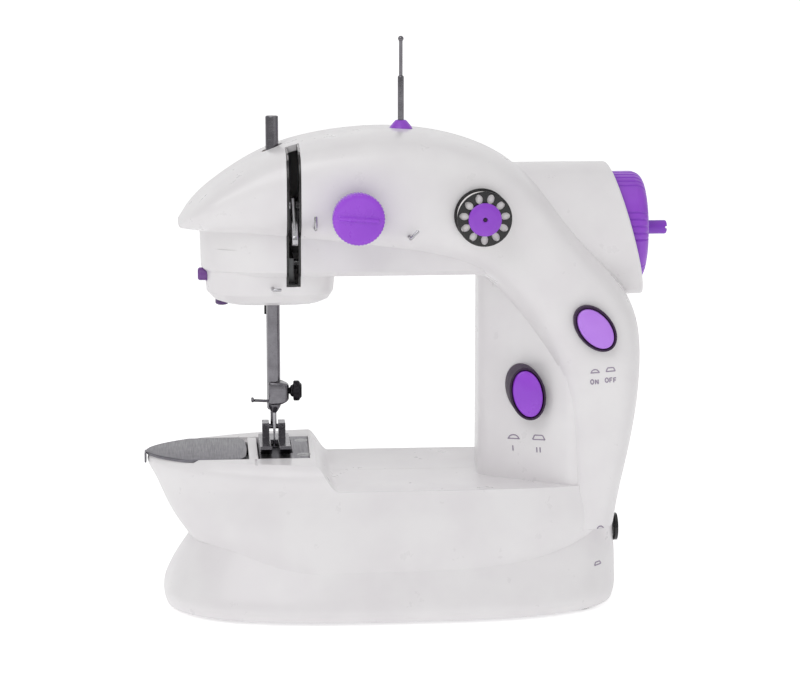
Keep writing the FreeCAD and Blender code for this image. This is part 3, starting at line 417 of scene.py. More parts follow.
def prism(outline, axis, start, end, edge=0.0, steps=4):
    """A straight prism whose two rims are rounded: each row is the outline moved inwards along
    its own normal by edge (1 - cos t) while it rises by edge sin t."""
    outline = np.array(outline, float)
    step = np.roll(outline, -1, 0) - np.roll(outline, 1, 0)
    normal = np.stack([step[:, 1], -step[:, 0]], 1)
    normal /= np.maximum(np.linalg.norm(normal, axis=1, keepdims=True), 1e-9)
    nxt = np.roll(outline, -1, 0)
    if (outline[:, 0] * nxt[:, 1] - nxt[:, 0] * outline[:, 1]).sum() < 0:
        normal = -normal
    t = np.linspace(0.0, np.pi / 2, steps + 1) if edge > 0 else np.array([0.0])
    rise = edge * (1 - np.sin(t[::-1]))
    drop = edge * (1 - np.cos(t[::-1]))
    level = np.concatenate([start + rise, (end - rise)[::-1]])
    inward = np.concatenate([drop, drop[::-1]])
    flat = outline[None] - normal[None] * inward[:, None, None]
    k = "xyz".index(axis)
    first, second = [i for i in range(3) if i != k]
    grid = np.zeros(flat.shape[:2] + (3,))
    grid[..., first] = flat[..., 0]
    grid[..., second] = flat[..., 1]
    grid[..., k] = level[:, None]
    return grid


def block(x0, x1, y0, y1, z0, z1, edge=0.0, corner=0.0):
    """A box with rounded rims at both ends and, if wanted, rounded upright corners."""
    outline = [(x0, y0), (x1, y0), (x1, y1), (x0, y1)]
    if corner > 0:
        outline = rounded(outline, corner, closed=True)
    return prism(outline, "z", z0, z1, edge)


def tube(path, radius, columns=16):
    """A round wire along a path: rings square to the path, built on one fixed side direction."""
    path = np.array(path, float)
    along = np.gradient(path, axis=0)
    along /= np.linalg.norm(along, axis=1, keepdims=True)
    spread = np.linalg.svd(path - path.mean(0))[2][2]
    side = np.cross(along, spread)
    side /= np.linalg.norm(side, axis=1, keepdims=True)
    top = np.cross(side, along)
    angle = 2.0 * np.pi * np.arange(columns) / columns
    radius = np.broadcast_to(np.asarray(radius, float), len(path))[:, None, None]
    c, s = np.cos(angle)[None, :, None], np.sin(angle)[None, :, None]
    ring = side[:, None] * c + top[:, None] * s
    return path[:, None] + radius * ring


def rod(axis, radius, start, end, centre, edge=0.0, columns=64):
    """A plain turned rod with slightly rounded ends."""
    profile = [(start, radius), (end, radius)]
    if edge > 0:
        t = np.linspace(0.0, np.pi / 2, 5)
        low = np.stack([start + edge * (1 - np.sin(t)), radius - edge * (1 - np.cos(t))], 1)[::-1]
        high = np.stack([end - edge * (1 - np.sin(t)), radius - edge * (1 - np.cos(t))], 1)
        profile = np.concatenate([low, high])
    return turned(profile, axis, centre, columns)


# %% Joining and cutting
def combine(base, others, how="DIFFERENCE"):
    """Adds to, cuts from or keeps the overlap with base, one solid after another."""
    for other in others:
        tool = base.modifiers.new("cut", "BOOLEAN")
        tool.operation = how
        tool.solver = "MANIFOLD"
        tool.object = other
    graph = bpy.context.evaluated_depsgraph_get()
    mesh = bpy.data.meshes.new_from_object(base.evaluated_get(graph))
    base.modifiers.clear()
    base.data = mesh
    for other in others:
        bpy.data.objects.remove(other)
    return base


def cutter(grid):
    """A skin that is only used up in a join or a cut."""
    return skin("cutter", grid, white_abs)


def twin(name, source):
    """A second object with its own copy of the mesh."""
    thing = bpy.data.objects.new(name, source.data.copy())
    scene.collection.objects.link(thing)
    return thing


def recast(name, rough, finish, crease=32.0):
    """A piece that has been cut gets its name, finish and shading; the rough object goes."""
    rough.name = "rough"
    piece = dress(name, rough.data, finish, crease)
    bpy.data.objects.remove(rough)
    return piece


def weight_normals(piece):
    """Large flat faces keep flat shading; the small round beside them takes all the bend."""
    tool = piece.modifiers.new("normals", "WEIGHTED_NORMAL")
    tool.keep_sharp = True
    return piece


print("tools for surfaces are ready")

# %% [markdown]
# # The body
# The machine's body is one sweeping band that starts as the tip of the head, becomes the arm and
# runs down the right side as a crescent, with a boat-shaped bed growing out of it to the left, a
# flared base below, a recessed column, and a round housing for the hand wheel. On the real machine
# it is two ABS shells, front and back, screwed together. We make each volume as a closed skin,
# join them, take the same volumes out again one wall thinner, and part the result at the middle.

# %% Sizes taken from the mechanism
wheel_low, wheel_high = limits("hand_wheel")
bar_low, bar_high = limits("needle_bar")
_, plate_high = limits("needle_plate")
shaft_z = (wheel_low[2] + wheel_high[2]) / 2
wheel_r = (wheel_high[2] - wheel_low[2]) / 2
needle_x = (bar_low[0] + bar_high[0]) / 2
bar_r = (bar_high[0] - bar_low[0]) / 2
bed_z = plate_high[2]
floor_z = bed_z - 9.5
arm_top_z = bed_z + 125.5
arm_under_z = bed_z + 71.8
head_z = arm_under_z - 12.0
wall = 2.4
slot_x = -45.0
print("wheel radius", round(wheel_r, 2), "bed", round(bed_z, 2), "top", round(arm_top_z, 2))

# %% Stations of the body
# Band: outer point, inner point (x, z) and half depth. Hulls: level, left, right, half depth and
# how square the outline is at its left and right end.
band = np.array([
    (-88.6, 150.0, -87.2, 147.9, 13.0), (-84.6, 155.6, -79.0, 147.6, 25.0),
    (-73.0, 166.0, -66.0, 146.6, 32.0), (-55.0, 176.6, -50.0, 144.6, 35.2),
    (-36.0, 182.4, -33.0, 142.4, 36.2), (-15.0, 185.0, -16.0, 140.0, 36.5),
    (6.0, 184.2, 1.0, 137.6, 36.5), (24.0, 180.2, 14.5, 134.8, 36.5),
    (41.0, 171.6, 25.5, 130.6, 36.5), (55.0, 157.0, 34.5, 123.5, 36.5),
    (67.0, 143.0, 41.5, 115.0, 36.5), (78.5, 130.0, 47.0, 106.0, 36.5),
    (87.0, 116.0, 51.5, 96.0, 36.5), (89.5, 98.0, 55.0, 84.0, 36.5),
    (88.3, 80.0, 57.2, 71.0, 36.5), (85.2, 62.0, 58.6, 57.0, 36.2),
    (81.6, 46.0, 59.4, 43.0, 36.0), (79.4, 34.0, 59.8, 32.0, 36.0)])
bed = np.array([
    (13.0, -66.0, 34.0, 42.4, 2.4, 4.0), (18.0, -77.0, 52.0, 43.2, 2.4, 4.5),
    (25.0, -84.5, 66.0, 42.8, 2.3, 5.0), (33.0, -90.5, 76.0, 41.8, 2.2, 5.0),
    (42.0, -95.5, 79.6, 40.3, 2.0, 5.0), (51.0, -99.6, 79.4, 38.4, 1.85, 5.0),
    (bed_z - 2.6, -101.7, 79.2, 37.0, 1.8, 5.0), (bed_z, -100.6, 78.0, 34.6, 1.75, 5.0)])
left, right, depth = -96.2, 81.8, 50.0
base = np.array([
    (1.6, left + 0.9, right - 0.9, depth - 0.9, 3.0, 3.0), (5.0, left, right, depth, 3.0, 3.0),
    (9.5, left + 1.2, right + 0.2, depth - 1.0, 3.0, 3.0),
    (14.5, left + 3.7, right + 0.1, depth - 3.8, 3.0, 3.1),
    (20.0, left + 7.2, right - 0.2, depth - 7.0, 3.0, 3.3),
    (27.0, left + 12.0, right - 0.8, depth - 10.2, 3.0, 3.6),
    (35.0, left + 18.0, right - 1.4, depth - 12.6, 3.0, 4.0),
    (44.0, left + 26.0, right - 2.2, depth - 14.6, 3.0, 4.0)])
arm = np.array([
    (arm_under_z, -78.4, 47.5, 27.4, 3.4, 6.0), (arm_under_z + 1.6, -80.0, 48.5, 29.0, 3.4, 6.0),
    (158.0, -80.6, 49.0, 29.3, 3.4, 6.0)])
head = np.array([
    (head_z, -71.5, -33.5, 19.5, 3.0, 3.4), (head_z + 1.4, -75.4, -30.6, 22.4, 3.0, 3.4),
    (head_z + 4.2, -78.0, -28.9, 24.4, 3.0, 3.4),
    (arm_under_z + 10.0, -79.2, -27.2, 26.0, 3.0, 3.4)])


# %% Skins of the body
def hull(stations, middle_x, inset, rows=60, columns=192):
    """Outlines stacked along Z: x goes from the middle to each end by the squared cosine, y by the
    squared sine, and every wall moves in by inset. rows=0 keeps the stations as they are."""
    knots = stations[:, 0]
    at = np.linspace(knots[0], knots[-1], rows) if rows else knots
    values = spline(knots, stations, at) if rows else stations.copy()
    middle = (knots[0] + knots[-1]) / 2
    squeeze = 1.0 - 2.0 * inset / (knots[-1] - knots[0])
    grid = np.zeros((len(at), columns, 3))
    for row, (z, x_left, x_right, half, n_left, n_right) in zip(grid, values):
        c, s = squared((n_left, n_right), columns)
        reach = np.where(c > 0, x_right - inset - middle_x, middle_x - x_left - inset)
        row[:] = np.stack([middle_x + reach * c, (half - inset) * s,
                           np.full(columns, middle + (z - middle) * squeeze)], 1)
    return grid


def band_skin(inset, rows=220, columns=120):
    """Squared ellipses of power 3.6 between the outer and the inner line of the side view. The
    stations are joined by a spline whose parameter is the length along the middle line."""
    outer, inner = band[:, 0:2], band[:, 2:4]
    step = np.linalg.norm(np.diff((outer + inner) / 2, axis=0), axis=1)
    knots = np.concatenate([[0.0], np.cumsum(step)])
    wide = np.linalg.norm(outer - inner, axis=1) > 2.0 * inset + 1.2
    at = np.linspace(knots[wide][0], knots[-1], rows)
    v = spline(knots, band, at)
    across = v[:, 0:2] - v[:, 2:4]
    width = np.linalg.norm(across, axis=1, keepdims=True)
    across = across / width
    middle = (v[:, 0:2] + v[:, 2:4]) / 2
    c, s = squared(3.6, columns)
    out = middle[:, None] + across[:, None] * ((width / 2 - inset) * c[None])[..., None]
    deep = (v[:, 4:5] - inset) * s[None]
    return np.stack([out[..., 0], deep, out[..., 1]], -1)


def column_skin(inset):
    """The recessed column in plan: its face turns from the front towards the left."""
    x0 = 27.0 + inset
    plan = [(x0, -10.5 + inset), (x0 + 2.2, -14.0 + inset), (60.0, -33.6 + inset),
            (75.0, -33.6 + inset), (75.0, 33.0 - inset), (34.0, 33.0 - inset),
            (x0 + 5.0, 29.0 - inset), (x0 + 2.2, 20.0 - inset)]
    return prism(rounded(plan, 2.2, closed=True), "z", floor_z - 8.0, arm_under_z + 6.0)


def rim_x(z):
    """The rim of the round housing leans: its x grows by 14.4 over 52.5 of height."""
    return 77.0 + (shaft_z + 30.0 - z) * 14.4 / 52.5


def housing_skin(inset, columns=160):
    """A cylinder along X whose last rows lean with the rim and roll over a 1 mm lip."""
    angle = 2.0 * np.pi * np.arange(columns) / columns
    radius = wheel_r + 3.9 - inset
    t = np.linspace(0.0, np.pi / 2, 6)
    back = np.concatenate([[0.0], 1.0 - np.sin(t)])
    drop = np.concatenate([[0.0], 1.0 - np.cos(t)])
    grid = np.zeros((7, columns, 3))
    grid[..., 1] = (radius - drop[:, None]) * np.cos(angle)
    grid[..., 2] = shaft_z + (radius - drop[:, None]) * np.sin(angle)
    end = rim_x(grid[..., 2]) if inset == 0 else np.full(grid.shape[:2], wheel_low[0] - 4.0)
    grid[..., 0] = end - back[:, None]
    grid[0, :, 0] = 32.0 + inset
    return grid


def step_skin(inset):
    """The space over the low part of the bed: an S-curve (3t^2 - 2t^3) from the raised bed down
    to the floor, then level past the column."""
    t = np.linspace(0.0, 1.0, 14)
    x = -38.0 - inset + 9.0 * t
    z = bed_z + 0.3 - (bed_z + 0.3 - floor_z + inset) * t * t * (3 - 2 * t)
    curve = np.stack([x, z], 1)
    edge = np.concatenate([[(-38.0 - inset, bed_z + 9.0)], curve,
                           [(95.0, floor_z - inset), (95.0, bed_z + 9.0)]])
    return prism(edge, "y", -60.0, 60.0)


def body_volume(inset):
    """Bed less its step, joined with the band, base, column, arm, head and housing. The column
    stops under the band: its upper right corner would stand out beside the wheel's housing."""
    whole = cutter(hull(bed, -25.0, inset))
    combine(whole, [cutter(step_skin(inset))])
    lower = base.copy()
    if inset > 0:
        mouth = lower[0].copy()
        mouth[0] = lower[0, 0] - 2.0 * inset - 1.0
        lower = np.concatenate([[mouth], lower])
    column = cutter(column_skin(inset))
    corner = block(62.0 - inset, 90.0, -60.0, 60.0, 119.0 - inset, 150.0)
    combine(column, [cutter(corner)])
    volumes = [band_skin(inset), hull(lower, (left + right) / 2, inset),
               hull(arm, -20.0, inset, 0), hull(head, -54.0, inset, 0), housing_skin(inset)]
    return combine(whole, [cutter(v) for v in volumes] + [column], "UNION")


outer = body_volume(0.0)
axis_x = (0.0, 0.0, shaft_z)
combine(outer, [cutter(rod("x", wheel_r + 1.3, wheel_low[0] - 1.2, 130.0, axis_x, columns=160))])
print("outer skin", len(outer.data.polygons), "faces")
inner = body_volume(wall)
combine(inner, [cutter(rod("x", wheel_r + 1.3 + wall, wheel_low[0] - 1.2 - wall, 130.0, axis_x))])
screws = [(-74.0, 157.0), (8.0, 173.0), (43.0, 163.0), (77.0, 84.0), (-16.0, 43.0), (22.0, 43.0)]
combine(inner, [cutter(rod("y", 4.2, -70.0, 70.0, (x, 0, z), columns=32)) for x, z in screws])
shell = combine(outer, [inner])
print("hollow shell", len(shell.data.polygons), "faces")

# %% [markdown]
# # Holes and recesses
# Everything that passes through the shell needs room: the take-up slot, the two bars, the plates
# let into the bed, the buttons, the screw pockets in the back and the jacks low on the right side.
# Each is cut with a solid a little larger than the piece that sits in it, from the same sizes.

# %% Cut the shell
power_at, power_tilt, power_rx, power_rz = (68.6, 111.7), -40.0, 6.7, 10.1
speed_at, speed_tilt, speed_rx, speed_rz = (43.9, 85.6), -12.0, 6.9, 10.4
light_y, light_z = -9.0, 130.2
dial_at, bobbin_at = (-21.5, 155.2), (25.0, 155.2)
pin_x = -2.2
foot_y = 10.0
hook_x, hook_open = -68.5, 17.0


def oval(rx, rz, tilt, at, columns=96):
    """An ellipse in the XZ plane, its long axis rz leaning by tilt degrees towards +X."""
    angle = 2.0 * np.pi * np.arange(columns) / columns
    lean = math.radians(tilt)
    x, z = rx * np.cos(angle), rz * np.sin(angle)
    return np.stack([at[0] + x * math.cos(lean) + z * math.sin(lean),
                     at[1] - x * math.sin(lean) + z * math.cos(lean)], 1)


seam_x = -59.8
cuts = [
    block(slot_x - 2.7, slot_x + 2.7, -60, -30.5, 127, 190),
    block(slot_x - 2.7, slot_x + 2.7, -31, -15, 127, 152),
    block(slot_x - 1.8, slot_x + 1.8, -31, -15, 150, 190),
    rod("z", bar_r + 1.5, 110, 124.5, (needle_x, 0, 0)),
    rod("z", bar_r + 1.5, 110, 124.5, (needle_x, foot_y, 0)),
    rod("z", bar_r + 1.5, 160, 200, (needle_x, 0, 0)),
    rod("z", 3.0, 170, 200, (pin_x, 0, 0)),
    rod("z", 4.6, arm_top_z - 0.6, 200, (pin_x, 0, 0)),
    block(needle_x - 4.2, needle_x + 4.2, 18, 40, 116, arm_under_z - 0.3),
    prism(oval(power_rx, power_rz, power_tilt, power_at), "y", -60, -30),
    prism(oval(speed_rx, speed_rz, speed_tilt, speed_at), "y", -60, -14),
    rod("y", 3.0, -60, -25, (bobbin_at[0], 0, bobbin_at[1])),
    rod("y", 2.0, -60, -25, (dial_at[0], 0, dial_at[1])),
    rod("x", 2.9, -90, -70, (0, light_y, light_z)),
    rod("z", 2.6, 110, 124.5, (needle_x - 20, -7, 0)),
    rod("z", 2.2, 110, 124.5, (needle_x - 11, -7, 0)),
    block(-110, -58.4, -20.3, 20.3, bed_z - 1.25, 80),
    prism([(-58.5, -20), (-39.0, -20), (-38.0, 20), (-58.5, 20)], "z", bed_z - 1.5, 80),
    block(hook_x - hook_open, -43.5, -16.5, 16.5, bed_z - 3.2, 80),
    block(seam_x - 0.3, seam_x + 0.3, -60, -34.4, bed_z - 5.5, bed_z + 1),
    block(seam_x - 0.3, seam_x + 0.3, -60, -20.2, bed_z - 0.5, bed_z + 1),
]
for y in (-12.0, 12.0):
    cuts += [rod("x", 4.2, 70, 95, (0, y, 28.0)), rod("x", 5.4, 80.9, 95, (0, y, 28.0))]
for x, z in screws:
    cuts.append(turned([(0, 1.55), (5.9, 1.55), (6.0, 3.0), (60, 3.0)], "y", (x, 0, z), 48))
lining = twin("lining", shell)
cutters = [cutter(cut) for cut in cuts]
for x, z in ((-37.2, 150.8), (-1.8, 147.0), (-53.0, 126.4)):
    cutters.append(cutter(rod("y", 0.62, -60, -18, (x, 0, z), columns=16)))
combine(shell, cutters)
print("shell with its holes:", len(shell.data.polygons), "faces")

# %% Part the shell at the middle
for name, node, sign in (("front_shell", "front_cover", -1), ("rear_shell", "rear_cover", 1)):
    half = twin(name, shell)
    ends = (-0.05, 80.0) if sign < 0 else (-80.0, 0.05)
    combine(half, [cutter(block(-130, 130, *ends, -10, 240))])
    made = stand_for(weight_normals(recast(name, half, white_abs, 26.0)), "white_shell", node)
    print(name, len(made.data.polygons), "faces")
bpy.data.objects.remove(shell)

# %% [markdown]
# # Hand wheel and winding spindle
# The wheel is a purple ABS cap pressed on the main shaft. It is turned by hand, so its rim carries
# groups of five grooves. A groove is only a change of radius with the angle, so the wheel is a
# lathe skin whose radius gets a small wave there. The spindle that winds bobbins sticks out of it.

# %% Hand wheel
groups, per_group, pitch_deg = 6, 5, 7.0
wheel_end = wheel_high[0] - 1.3


def grip(along, radius, angle):
    """Grooves: minus depth times a raised cosine, 1.5 degrees half wide, at each groove's angle,
    faded out towards the back edge and towards the hub."""
    turn = np.degrees(angle) - 180.0 + 8.0
    lines = np.zeros_like(turn)
    for group in range(groups):
        for k in range(per_group):
            groove = 360.0 / groups * group + pitch_deg * (k - per_group // 2)
            off = (turn - groove + 180) % 360 - 180
            lines = lines + np.where(np.abs(off) < 1.5, 0.5 + 0.5 * np.cos(np.pi * off / 1.5), 0.0)
    fade = np.clip((along - wheel_low[0] - 2.2) / 0.9, 0, 1) * np.clip((radius - 14.0) / 3.0, 0, 1)
    return -0.5 * lines * fade


x0, x1 = wheel_low[0], wheel_end
wheel_line = [(x0, 3.0), (x0, wheel_r - 1.5), (x0 + 1.5, wheel_r)]
wheel_line += [(x, wheel_r) for x in np.linspace(x0 + 2.4, x1 - 4.6, 6)]
wheel_line += [(x1 - 4.2, wheel_r), (x1 - 1.8, wheel_r - 0.9), (x1 - 0.3, wheel_r - 2.9),
               (x1 + 0.6, wheel_r - 9.0), (x1 + 1.2, 6.0), (x1 + 1.3, 3.0)]
wheel_line = rounded(wheel_line, 1.4, 5)
wheel = skin("hand_wheel_cap", turned(wheel_line, "x", (0, 0, shaft_z), 960, grip), purple_abs,
             ring=True, crease=50.0)
stand_for(wheel, "purple", "hand_wheel")
_, spindle_high = limits("winder_spindle")
spindle_line = [(wheel_low[0] + 9.0, 2.98), (wheel_end + 1.25, 2.98), (wheel_end + 1.3, 2.7)]
spindle_line += [(spindle_high[0] - 0.7, 2.7), (spindle_high[0] - 0.2, 2.5), (spindle_high[0], 2.1)]
spindle = skin("winding_spindle", turned(rounded(spindle_line, 0.3), "x", (0, 0, shaft_z), 64),
               purple_abs)
combine(spindle, [cutter(block(spindle_high[0] - 0.8, 110, -4, 4, shaft_z - 0.5, shaft_z + 0.5))])
stand_for(recast("winder_pin", spindle, purple_abs), "purple", "winder_spindle")
print("hand wheel", len(wheel.data.polygons), "faces")

# %% [markdown]
# # Tension dial
# The dial presses two steel discs together on the thread. Its rim is toothed for the fingers and a
# low bar runs across its face to show how far it is turned. Rim and face are one lathe skin: the
# teeth are a wave of the radius and the bar lifts the face where it crosses.

# %% Tension dial
dial_low, dial_high = limits("tension_dial")
dial_r = (dial_high[0] - dial_low[0]) / 2
dial_face = dial_low[1] + 0.8


def dial_skin(teeth=44, columns=528):
    """Rows run from the back of the rim over the edge to the centre of the face. The radius loses
    0.2 mm between teeth; the face rises 0.75 mm along a bar 2 mm wide, with soft flanks."""
    back = [(dial_high[1], 2.1), (dial_high[1], dial_r - 0.4), (dial_face + 1.4, dial_r - 0.1)]
    rim = rounded(back + [(dial_face + 0.2, dial_r - 0.5), (dial_face, dial_r - 2.0)], 0.5, 5)
    face = np.stack([np.full(40, dial_face), np.linspace(dial_r - 2.2, 0.05, 40)], 1)

    def wave(along, radius, angle):
        outer_part = np.clip((radius - (dial_r - 1.4)) / 0.5, 0, 1)
        return -0.1 * outer_part * (1 - np.cos(teeth * angle)) ** 2 / 2

    grid = turned(np.concatenate([rim, face]), "y", (dial_at[0], 0, dial_at[1]), columns, wave)
    x, z = grid[..., 0] - dial_at[0], grid[..., 2] - dial_at[1]
    tilt = math.radians(4.0)
    across, along = z * math.cos(tilt) + x * math.sin(tilt), x * math.cos(tilt) - z * math.sin(tilt)
    rise = np.clip((1.05 - np.abs(across)) / 0.7, 0, 1) * np.clip((8.0 - np.abs(along)) / 0.8, 0, 1)
    lift = rise * rise * (3 - 2 * rise) * 0.75
    on_face = grid[..., 1] < dial_face + 0.05
    grid[..., 1] -= np.where(on_face, lift, 0.0)
    return grid


dial = skin("tension_dial_cap", dial_skin(), deep_abs, crease=60.0)
stand_for(dial, "purple", "tension_dial")
print("dial radius", round(dial_r, 2))

# %% [markdown]
# # Bobbin on the front of the arm
# A black plastic bobbin full of white thread sits on a stub, held by a purple cap. The thread shows
# through eleven holes in the flange. The winding is a lathe skin too, with a helical wave as wide
# as the thread, and the bobbin is cut through with eleven drills.

# %% Bobbin, winding and cap
spool_low, spool_high = limits("thread_bobbin")
spool_r = (spool_high[0] - spool_low[0]) / 2
bx, bz = bobbin_at
y0, y1 = spool_low[1], spool_high[1]
h_section = [(y0, 3.06), (y0, spool_r), (y0 + 0.7, spool_r), (y0 + 0.7, 4.2), (y1 - 1.0, 4.2),
             (y1 - 1.0, spool_r), (y1, spool_r), (y1, 3.06)]
spool_line = rounded(h_section, 0.3, 4, closed=True)
spool = skin("spool", turned(spool_line, "y", (bx, 0, bz), 128), black_abs, ring=True)
drills = []
for i in range(11):
    turn = 2.0 * math.pi * i / 11 + math.radians(8.0)
    spot = (bx + (spool_r - 2.55) * math.cos(turn), bz + (spool_r - 2.55) * math.sin(turn))
    hole = oval(1.35, 1.75, 90.0 - math.degrees(turn), spot, 28)
    drills.append(cutter(prism(hole, "y", y0 - 1, y0 + 2)))
combine(spool, drills)
spool = weight_normals(recast("black_bobbin", spool, black_abs))
stand_for(spool, "black_plastic", "thread_bobbin")


def coils(along, radius, angle, lay=0.42):
    """Turns of thread: a rounded ridge every lay millimetres, shifted by one lay per turn."""
    phase = along / lay + angle / (2 * np.pi)
    return np.where(radius > 6.0, -0.09 * (1 - np.abs(np.sin(np.pi * phase))), 0.0)


rows = np.linspace(y0 + 0.72, y1 - 1.02, 150)
wound = [(rows[0], 4.25)] + [(y, spool_r - 1.1) for y in rows] + [(rows[-1], 4.25)]
winding = skin("thread_on_bobbin", turned(wound, "y", (bx, 0, bz), 96, coils), thread_white,
               ring=True, crease=70.0)
stand_for(winding, "thread", "thread_winding")
cap_low, cap_high = limits("bobbin_cap")
cap_r = (cap_high[0] - cap_low[0]) / 2
cy = cap_low[1]
cap_line = rounded([(cap_high[1], 1.28), (cy + 1.8, 1.3), (cy + 1.8, cap_r), (cy + 0.35, cap_r),
                    (cy + 0.02, cap_r - 1.6), (cy, 1.3), (cy + 0.1, 0.9), (cy + 0.8, 0.75)], 0.4, 5)
cap = skin("cap", turned(cap_line, "y", (bx, 0, bz), 96), purple_abs)
centre = skin("cap_centre", rod("y", 0.74, cy + 0.45, cy + 0.82, (bx, 0, bz), 0.1, 32), ring_abs)
stand_for(cap, "purple", "bobbin_cap")
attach(centre, "cap")
cap.name = "bobbin_cap_face"

# %% [markdown]
# # Buttons
# Two oval push buttons work the machine: the upper one switches it on, the lower one sets the
# speed. Each is a domed ABS cap inside a dark collar. Both are skins of ellipses: the rows rise up
# the side, roll over the edge and close over the dome.

# %% Buttons and collars
def ovals(rows, tilt, at):
    """A grid of ellipses in the XZ plane, one for each (rx, rz, y)."""
    grid = np.zeros((len(rows), 96, 3))
    for ring_row, (rx, rz, y) in zip(grid, rows):
        flat = oval(rx, rz, tilt, at)
        ring_row[:, 0], ring_row[:, 1], ring_row[:, 2] = flat[:, 0], y, flat[:, 1]
    return grid


def button_skin(rx, rz, tilt, at, back, front, dome, edge=1.1):
    """Rows of ellipses: a straight skirt, a quarter-round edge, then a dome whose height falls
    with the square of the distance from its middle."""
    t = np.linspace(0.0, np.pi / 2, 7)
    inset = np.concatenate([[0.0], edge * (1 - np.cos(t))])
    level = np.concatenate([[back], front + edge * (1 - np.sin(t))])
    share = np.linspace(1.0, 0.03, 18)[1:]
    rows = [(rx - i, rz - i, y) for i, y in zip(inset, level)]
    rows += [((rx - edge) * f, (rz - edge) * f, front - dome * (1 - f * f)) for f in share]
    return ovals(rows, tilt, at)


def collar_skin(rx, rz, tilt, at, back, front, thick=0.9):
    """A closed ring of ellipses: outer wall, rounded lip, inner wall."""
    corners = [(0.0, back), (0.0, front), (thick, front), (thick, back)]
    profile = rounded(corners, 0.35, 5, closed=True)
    return ovals([(rx - inset, rz - inset, y) for inset, y in profile], tilt, at)


clear = 1.25                     # from the collar's outside to the cap
collars = []
for name, node, finish, slot, rx, rz, tilt, at, dome, back, front in (
        ("power_cap", "power_button", lilac_abs, "purple_light", power_rx, power_rz,
         power_tilt, power_at, 0.5, -28.0, -39.3),
        ("speed_cap", "speed_button", deep_abs, "purple_deep", speed_rx, speed_rz,
         speed_tilt, speed_at, 0.9, -15.4, -32.2)):
    low, high = limits(node)
    dome_grid = button_skin(rx - clear, rz - clear, tilt, at, high[1], low[1] + dome, dome)
    stand_for(skin(name, dome_grid, finish, crease=45.0), slot, node)
    collars.append(skin("collar", collar_skin(rx, rz, tilt, at, back, front), ring_abs, True))
stand_for(join_skins("button_collars", collars), "ring_dark", "button_rings")
light_low, light_high = limits("light_button")
light_line = [(light_high[0], 3.4), (light_high[0] - 1.0, 3.4), (light_high[0] - 1.0, 2.5)]
light_line += [(light_low[0] + 0.6, 2.5), (light_low[0], 1.9)]
light_grid = turned(rounded(light_line, 0.3), "x", (0, light_y, light_z), 48)
lamp_key = skin("lamp_key", light_grid, key_abs)
stand_for(lamp_key, "purple_deep", "light_button")
lenses = []
for name, x, radius, drop, finish in (("lens_dark", needle_x - 20.0, 2.6, 1.4, lens_abs),
                                      ("lens_pale", needle_x - 11.0, 2.2, 1.0, grey_abs)):
    tip = head_z - drop
    line = rounded([(124.0, radius), (tip + 0.5, radius), (tip, radius - 0.9)], 0.4, 6)
    lenses.append(skin(name, turned(line, "z", (x, -7.0, 0), 40), finish))
stand_for(join_skins("head_lamp", lenses), "clear_plastic", "lamp")
print("buttons made")

# %% [markdown]
# # Slot lining
# The take-up lever swings in a long slot beside the head. A black liner covers the slot's raw
# edges, and it follows the shell exactly because it is cut from the same shell.

# %% Slot lining
combine(lining, [cutter(block(slot_x - 2.62, slot_x + 2.62, -60, -15, 127, 190))], "INTERSECT")
combine(lining, [cutter(block(slot_x - 1.8, slot_x + 1.8, -60, -15, 128, 190))])
lining = weight_normals(recast("slot_lining", lining, black_abs, 26.0))
stand_for(lining, "black_plastic", "slot_trim")
print("lining", len(lining.data.polygons), "faces")

# %% [markdown]
# # Bars, needle and clamp
# The needle bar and the presser bar are ground rods with dark chrome on them. At the lower end of
# the needle bar a clamp block holds the needle with a small winged screw. All are turned pieces,
# apart from the block, which is a casting with rounded corners.

# %% Bars and needle
bar = skin("needle_bar_rod", rod("z", bar_r, bar_low[2], bar_high[2], (needle_x, 0, 0), 0.5, 48),
           dark_chrome)
stand_for(bar, "dark_chrome", "needle_bar")
_, press_high = limits("presser_bar")
press_line = [(66.4, 1.2), (72.6, 1.2), (73.0, bar_r - 0.3), (73.6, bar_r), (131.0, bar_r),
              (131.1, 4.5), (135.0, 4.5), (135.1, bar_r), (press_high[2] - 0.4, bar_r),
              (press_high[2], bar_r - 0.4)]
press = skin("presser_rod", [turned(rounded(press_line, 0.2), "z", (needle_x, foot_y, 0), 48),
             rod("x", 1.0, needle_x - 4.6, needle_x + 4.6, (0, foot_y, 66.0), 0.2, 24),
             block(needle_x - 2.5, needle_x + 2.5, foot_y, 18.5, 131.2, 134.0, 0.3)], dark_chrome)
stand_for(press, "dark_chrome", "presser_bar")
needle_low, needle_high = limits("needle")
shaft_line = [(needle_high[2], 0.5), (needle_low[2] + 18.0, 0.5), (needle_low[2] + 16.0, 0.36),
              (needle_low[2] + 5.2, 0.36), (needle_low[2] + 4.6, 0.42), (needle_low[2] + 3.2, 0.3),
              (needle_low[2], 0.06)]
needle = skin("needle_blade", turned(rounded(shaft_line, 0.5), "z", (needle_x, 0, 0), 24),
              needle_steel)
stand_for(needle, "chrome", "needle")

# %% Clamp and its screw
_, clamp_high = limits("needle_clamp")
cz = 82.2
lump = rounded([(needle_x - 2.35, -3.4), (needle_x + 3.6, -4.0), (clamp_high[0], -2.2),
                (clamp_high[0], 2.2), (needle_x + 3.6, 4.0), (needle_x - 2.35, 3.4)], 1.4, 6, True)
clamp_block = prism(lump, "z", 77.0, clamp_high[2], 1.0)
slope = np.clip((clamp_block[..., 0] - needle_x) / 6.0, 0, 1)
clamp_block[..., 2] = cz + (clamp_block[..., 2] - cz) * (1 - 0.32 * slope * slope)
nose = turned(rounded([(73.6, 0.75), (74.0, 1.3), (76.2, 2.6), (77.4, 2.75)], 0.5), "z",
              (needle_x, 0, 0), 40)
stand_for(skin("clamp_block", [clamp_block, nose], dark_chrome), "dark_chrome", "needle_clamp")
knob_low, knob_high = limits("clamp_screw")


